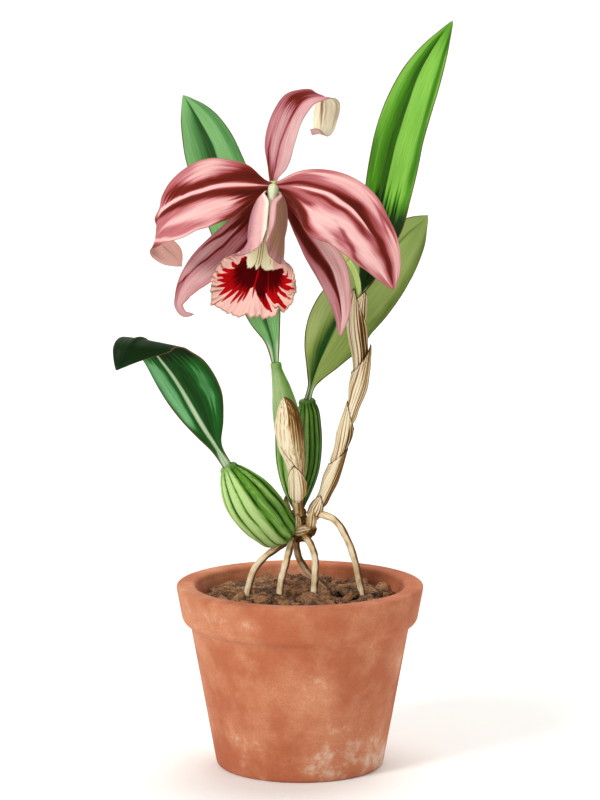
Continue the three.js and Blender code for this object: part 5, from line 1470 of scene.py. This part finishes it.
class ORCHID_OT_bulbs(bpy.types.Operator):
    """Grow the ribbed pseudobulbs"""
    bl_idname = "orchid.bulbs"
    bl_label = "Pseudobulbs"

    def execute(self, context):
        settings = context.scene.orchid_bulb
        skin = bulb_finish(settings)
        depth = settings.furrow_depth
        # shade is painted shade laid over the whole of each bulb, most on the middle and back bulbs.
        for node, stations, ribs, deep, seed, shade, end, grey in (
            ("pseudobulb_left", LEFT_BULB, 13, depth, 1, 0.06, 1.05, 0.0),
            ("pseudobulb_centre", CENTRE_BULB, 10, 0.7 * depth, 2, 0.3, 0.6, 0.75),
            ("pseudobulb_back", BACK_BULB, 15, depth, 3, 0.32, 1.05, 0.0),
        ):
            def pale(u, angle, grey=grey):
                """Grey from the middle up, and a pale ring at the top."""
                return grey * rising(u, 0.35, 0.6) + 0.35 * bell(u, 1, 0.02)

            relief, tone = furrowed(ribs, deep, seed, shade, end)
            solid = rod_solid(stations, 110, 13 * ribs, collar(relief), tone, pale=pale)
            put(node + "_skin", node, "pseudobulb", skin, solid)
        return {"FINISHED"}


class ORCHID_OT_shoots(bpy.types.Operator):
    """Grow the bud shoot and the flowering shoot with their dry sheaths"""
    bl_idname = "orchid.shoots"
    bl_label = "Shoots and sheaths"

    def execute(self, context):
        settings = context.scene.orchid_sheath
        papery = papery_finish("dry_sheath", settings)
        put("bud_sheath", "bud_shoot", "dry_sheath", papery, bud_solid())
        bract = sheath_solid(BUD_SHOOT, BUD_BRACT, settings.thickness, 51, 0.2, 0.16, 0.12)
        put("bud_foot_bract", "bud_bract", "dry_sheath", papery, bract)
        route = FLOWER_SHOOT + [SHOOT_TOP]
        for k, (shape, shade) in enumerate(zip(SHEATHS, SHEATH_SHADES)):
            solid = sheath_solid(route, shape, settings.thickness, 60 + k, shade)
            put(f"sheath_{k + 1}", f"shoot_sheath_{k + 1}", "dry_sheath", papery, solid)
        green = stem_finish("stem_green", "CFE08A", "7FA63E")
        stem = rod_solid(FLOWER_SHOOT, 100, 28, rounding=0.01)
        put("flower_stem", "flowering_shoot", "stem", green, stem)
        return {"FINISHED"}


def bud_solid():
    """The bud in its sheath: an outer scale lies over an inner one. Its edge comes round from the
    left and slants down across the front, a keel runs down its front from the tip, and its right
    side and its tip are brown, the right side darker still with painted shade."""
    def away(u, angle):
        """How far an angle is past the outer scale's edge."""
        lean = math.radians(-160) + math.radians(88) * np.clip((0.7 - u) / 0.32, 0, 1)
        return round_angle(angle - lean)

    def overlap(u, angle):
        """1 on the outer scale: from its edge round the back, and all round at the top."""
        off = away(u, angle)
        return np.clip(rising(off, -0.05, 0.03) * (1 - rising(off, 2.7, 3.0)) + rising(u, 0.68, 0.72), 0, 1)

    def fibres(angle):
        """Stripes round the bud, whose spacing wanders."""
        return np.cos(26 * angle + 2.2 * wander(angle * 2, 7))

    def relief(u, angle):
        """The outer scale stands out by 6%, with the fibres and the keel on it."""
        keel = 0.03 * bell(bearing(u, angle), 0, 0.08) * rising(u, 0.3, 0.5)
        return 0.95 + 0.06 * overlap(u, angle) + 0.014 * fibres(angle) * rising(u, 0.1, 0.3) + keel

    def bearing(u, angle):
        """How far an angle is to the right of the keel."""
        return round_angle(angle + math.pi / 2 - 0.22 * bell(u, 0.5, 0.3))

    def tone(u, angle):
        """A pale body, plus the edge's line, the keel, the brown right side darkened further by painted
        shade, the tip and strokes.
        """
        over = overlap(u, angle)
        off = bearing(u, angle)
        right = rising(off, -0.04, 0.12) * (1 - rising(off, 2.2, 2.8))
        line = bell(away(u, angle), -0.02, 0.07) * (1 - rising(u, 0.62, 0.7))
        keel = 0.4 * bell(off, 0, 0.035) * rising(u, 0.3, 0.45)
        shaded = right * (0.16 + 0.36 * rising(u, 0.5, 0.9)) + 0.42 * bell(off, 1.4, 0.8)
        tip = 0.2 * rising(u, 0.96, 1.0) + 0.3 * bell(u, 0.08, 0.08)
        strokes = 0.4 * rising(np.cos(17 * angle + 1), 0.55, 0.95) * rising(u, 0.66, 0.86) * (1 - right)
        striped = 0.18 * fibres(angle + 0.05) * over * (0.35 + 0.8 * right)
        return 0.06 + 0.04 * over + 0.6 * line + keel + shaded + tip + strokes + striped

    return rod_solid(BUD_SHOOT, 120, 160, relief, tone, rounding=0.01)


class ORCHID_OT_leaves(bpy.types.Operator):
    """Grow the four leaves"""
    bl_idname = "orchid.leaves"
    bl_label = "Leaves"

    def execute(self, context):
        settings = context.scene.orchid_leaf
        # Each leaf's dark green also carries the painted shade of its markings.
        for node, stations, slot, greens, base, seed in (
            ("leaf_tall", TALL_LEAF, "leaf_bright", ("90CC54", "4A8C1A", "0F2A00"), 0.16, 11),
            ("leaf_upper_left", UPPER_LEFT_LEAF, "leaf_mid", ("88BE7A", "4C8546", "12300A"), 0.14, 12),
            ("leaf_back", BACK_LEAF, "leaf_olive", ("B2C47C", "82984A", "1E4A16"), 0.29, 13),
        ):
            finish = leaf_finish(node + "_wax", greens, settings)
            solid = blade_solid(
                node, stations, LEAF_GRID, settings.thickness, crease=0.8, wave=0.14, base=base, seed=seed)
            put(node + "_blade", node, slot, finish, solid)
        node = "leaf_lower_left"
        finish = leaf_finish(node + "_wax", ("7EC084", "1F6420", "082202"), settings, 0.0)
        solid = folded_leaf_solid(settings.thickness)
        put(node + "_blade", node, "leaf_dark", finish, solid)
        return {"FINISHED"}


class ORCHID_OT_bloom(bpy.types.Operator):
    """Open the bloom: pedicel, column, sepals, petals and lip"""
    bl_idname = "orchid.bloom"
    bl_label = "Bloom"

    def execute(self, context):
        flower, lip = context.scene.orchid_flower, context.scene.orchid_lip
        sepal = petal_finish("sepal_mauve", flower.lilac, flower.mauve, flower.reverse, flower)
        petal = petal_finish("petal_rose", flower.blush, flower.rose, flower.petal_reverse, flower)
        for node, stations, finish, wave, base, seed in (
            ("sepal_dorsal", DORSAL_SEPAL, sepal, 0.3, 0.42, 21),
            ("sepal_left", LEFT_SEPAL, sepal, 0.3, 0.42, 22),
            ("sepal_right", RIGHT_SEPAL, sepal, 0.3, 0.42, 23),
            ("petal_left", LEFT_PETAL, petal, 0.6, 0.45, 24),
            ("petal_right", RIGHT_PETAL, petal, 0.6, 0.45, 25),
        ):
            solid = blade_solid(
                node, stations, PETAL_GRID, flower.thickness, crease=0.4, wave=wave, base=base, seed=seed)
            put(node + "_blade", node, node[:5], finish, solid)
        put("lip_frilled", "lip", "lip", lip_finish(lip), lip_solid(lip))

        def ridged(u, angle):
            """Three soft ridges, strongest halfway."""
            return 1 + 0.08 * np.cos(3 * angle + 0.5) * bell(u, 0.5, 0.5)

        def shaded(u, angle):
            """Darker on the right as painted shade, and at the foot."""
            return 0.15 + 0.7 * bell(np.cos(angle + 0.2), 1, 0.6) + 0.3 * bell(u, 0, 0.1)

        def jointed(u, angle):
            """A ring where the stalk meets the ovary, and six soft ribs on the ovary."""
            return 1 + 0.28 * bell(u, 0.3, 0.008) + 0.06 * rising(u, 0.6, 0.9) * np.cos(6 * angle)

        def ringed(u, angle):
            """Darker at the ring."""
            return 0.3 + 0.6 * bell(u, 0.3, 0.006)

        cream = stem_finish("column_cream", "E8EDCC", "8A9E5E")
        put("column_body", "column", "column", cream, rod_solid(COLUMN, 60, 40, ridged, shaded, 0.08))
        green = stem_finish("pedicel_green", "D8EC95", "86AE45")
        stalk = rod_solid(PEDICEL, 170, 36, jointed, ringed)
        put("pedicel_stalk", "pedicel_and_ovary", "stem", green, stalk)
        return {"FINISHED"}


class ORCHID_OT_stage(bpy.types.Operator):
    """Lay the pale floor and set the lights and the camera"""
    bl_idname = "orchid.stage"
    bl_label = "Floor, lights and camera"

    def execute(self, context):
        settings = context.scene.orchid_stage
        lay_floor(settings)
        target = (0, 0, settings.aim_height)
        for name, place, spread, power in (
            ("key_light", (-0.8, -0.75, 0.85), 17, 1.9),
            ("fill_light", (0.9, -0.8, 0.35), 40, 0.42),
            ("top_light", (0.1, 0.3, 1.1), 43, 1.56),
        ):
            lamp = bpy.data.lights.new(name, "SUN")
            lamp.angle, lamp.energy, lamp.color = math.radians(spread), power, (1, 0.985, 0.955)
            aim(bpy.data.objects.new(name, lamp), place, target)
        world = bpy.data.worlds.new("studio")
        world.use_nodes = True
        sky = world.node_tree.nodes["Background"].inputs
        sky["Color"].default_value, sky["Strength"].default_value = (1, 1, 1, 1), 0.45
        context.scene.world = world
        context.scene.view_settings.view_transform = "Standard"
        lens = bpy.data.cameras.new("camera")
        lens.lens = lens.sensor_width * settings.distance / settings.seen_height
        camera = bpy.data.objects.new("camera", lens)
        back = (0, -math.cos(settings.elevation), math.sin(settings.elevation))
        aim(camera, [t + settings.distance * b for t, b in zip(target, back)], target)
        context.scene.camera = camera
        return {"FINISHED"}


def aim(thing, place, target):
    """Links an object at a place, looking at a target."""
    thing.location = place
    thing.rotation_euler = (Vector(target) - Vector(place)).to_track_quat("-Z", "Y").to_euler()
    bpy.context.scene.collection.objects.link(thing)


def lay_floor(settings):
    """A floor that bends up into a backdrop far behind the plant: flat, a quarter circle, a wall.
    Its sizes are in metres."""
    bend, flat, high, wide = 0.6, 2.6, 3.0, 3.5
    turn = np.linspace(0, math.pi / 2, 24)
    arc = np.stack([flat + bend * np.sin(turn), bend - bend * np.cos(turn)], -1)
    profile = np.concatenate([[(-wide, 0)], arc, [(flat + bend, high)]])
    y, z = profile[:, :1], profile[:, 1:]
    x = np.array([-wide, wide]) + 0 * y
    grid = np.stack([x, y + 0 * x, z + 0 * x], -1).reshape(-1, 3)
    mesh = bpy.data.meshes.new("floor")
    mesh.from_pydata(grid.tolist(), [], patch(np.arange(len(grid)).reshape(-1, 2))[:, ::-1].tolist())
    mesh.polygons.foreach_set("use_smooth", np.ones(len(mesh.polygons), bool))
    paper = Finish("floor_paper", placed=True)
    tooth = paper.noise(0.4, detail=2), 0.05
    mesh.materials.append(paper.surface(settings.paper, tooth, roughness=0.95))
    floor = bpy.data.objects.new("floor", mesh)
    bpy.context.scene.collection.objects.link(floor)


class ORCHID_PT_panel(bpy.types.Panel):
    """The orchid's pieces and their settings"""
    bl_label = "Potted cattleya"
    bl_idname = "ORCHID_PT_panel"
    bl_space_type = "VIEW_3D"
    bl_region_type = "UI"
    bl_category = "Orchid"

    def draw(self, context):
        for step, groups in STEPS.items():
            box = self.layout.box()
            box.operator("orchid." + step)
            for group in groups:
                for name in GROUPS[group].__annotations__:
                    box.prop(getattr(context.scene, "orchid_" + group), name)


GROUPS = {
    "stage": StageSettings, "pot": PotSettings, "bark": BarkSettings, "sheath": SheathSettings,
    "bulb": BulbSettings, "leaf": LeafSettings, "flower": FlowerSettings, "lip": LipSettings,
}
# The panel's boxes: each operator, and the settings that it reads.
STEPS = {
    "stage": ["stage"], "pot": ["pot"], "bark": ["bark"], "roots": ["sheath"], "bulbs": ["bulb"],
    "shoots": ["sheath"], "leaves": ["leaf"], "bloom": ["flower", "lip"],
}
CLASSES = (
    *GROUPS.values(), ORCHID_OT_stage, ORCHID_OT_pot, ORCHID_OT_bark, ORCHID_OT_roots, ORCHID_OT_bulbs,
    ORCHID_OT_shoots, ORCHID_OT_leaves, ORCHID_OT_bloom, ORCHID_PT_panel,
)


def register():
    """Registers the classes, and gives the scene its groups of settings."""
    for kind in CLASSES:
        bpy.utils.register_class(kind)
    for name, group in GROUPS.items():
        setattr(bpy.types.Scene, "orchid_" + name, bpy.props.PointerProperty(type=group))


def unregister():
    """Takes away what register gave."""
    for name in GROUPS:
        delattr(bpy.types.Scene, "orchid_" + name)
    for kind in reversed(CLASSES):
        bpy.utils.unregister_class(kind)


def main():
    """Builds every piece."""
    register()
    bpy.ops.orchid.stage()
    bpy.ops.orchid.pot()
    bpy.ops.orchid.bark()
    bpy.ops.orchid.roots()
    bpy.ops.orchid.bulbs()
    bpy.ops.orchid.shoots()
    bpy.ops.orchid.leaves()
    bpy.ops.orchid.bloom()


if __name__ == "__main__":
    main()
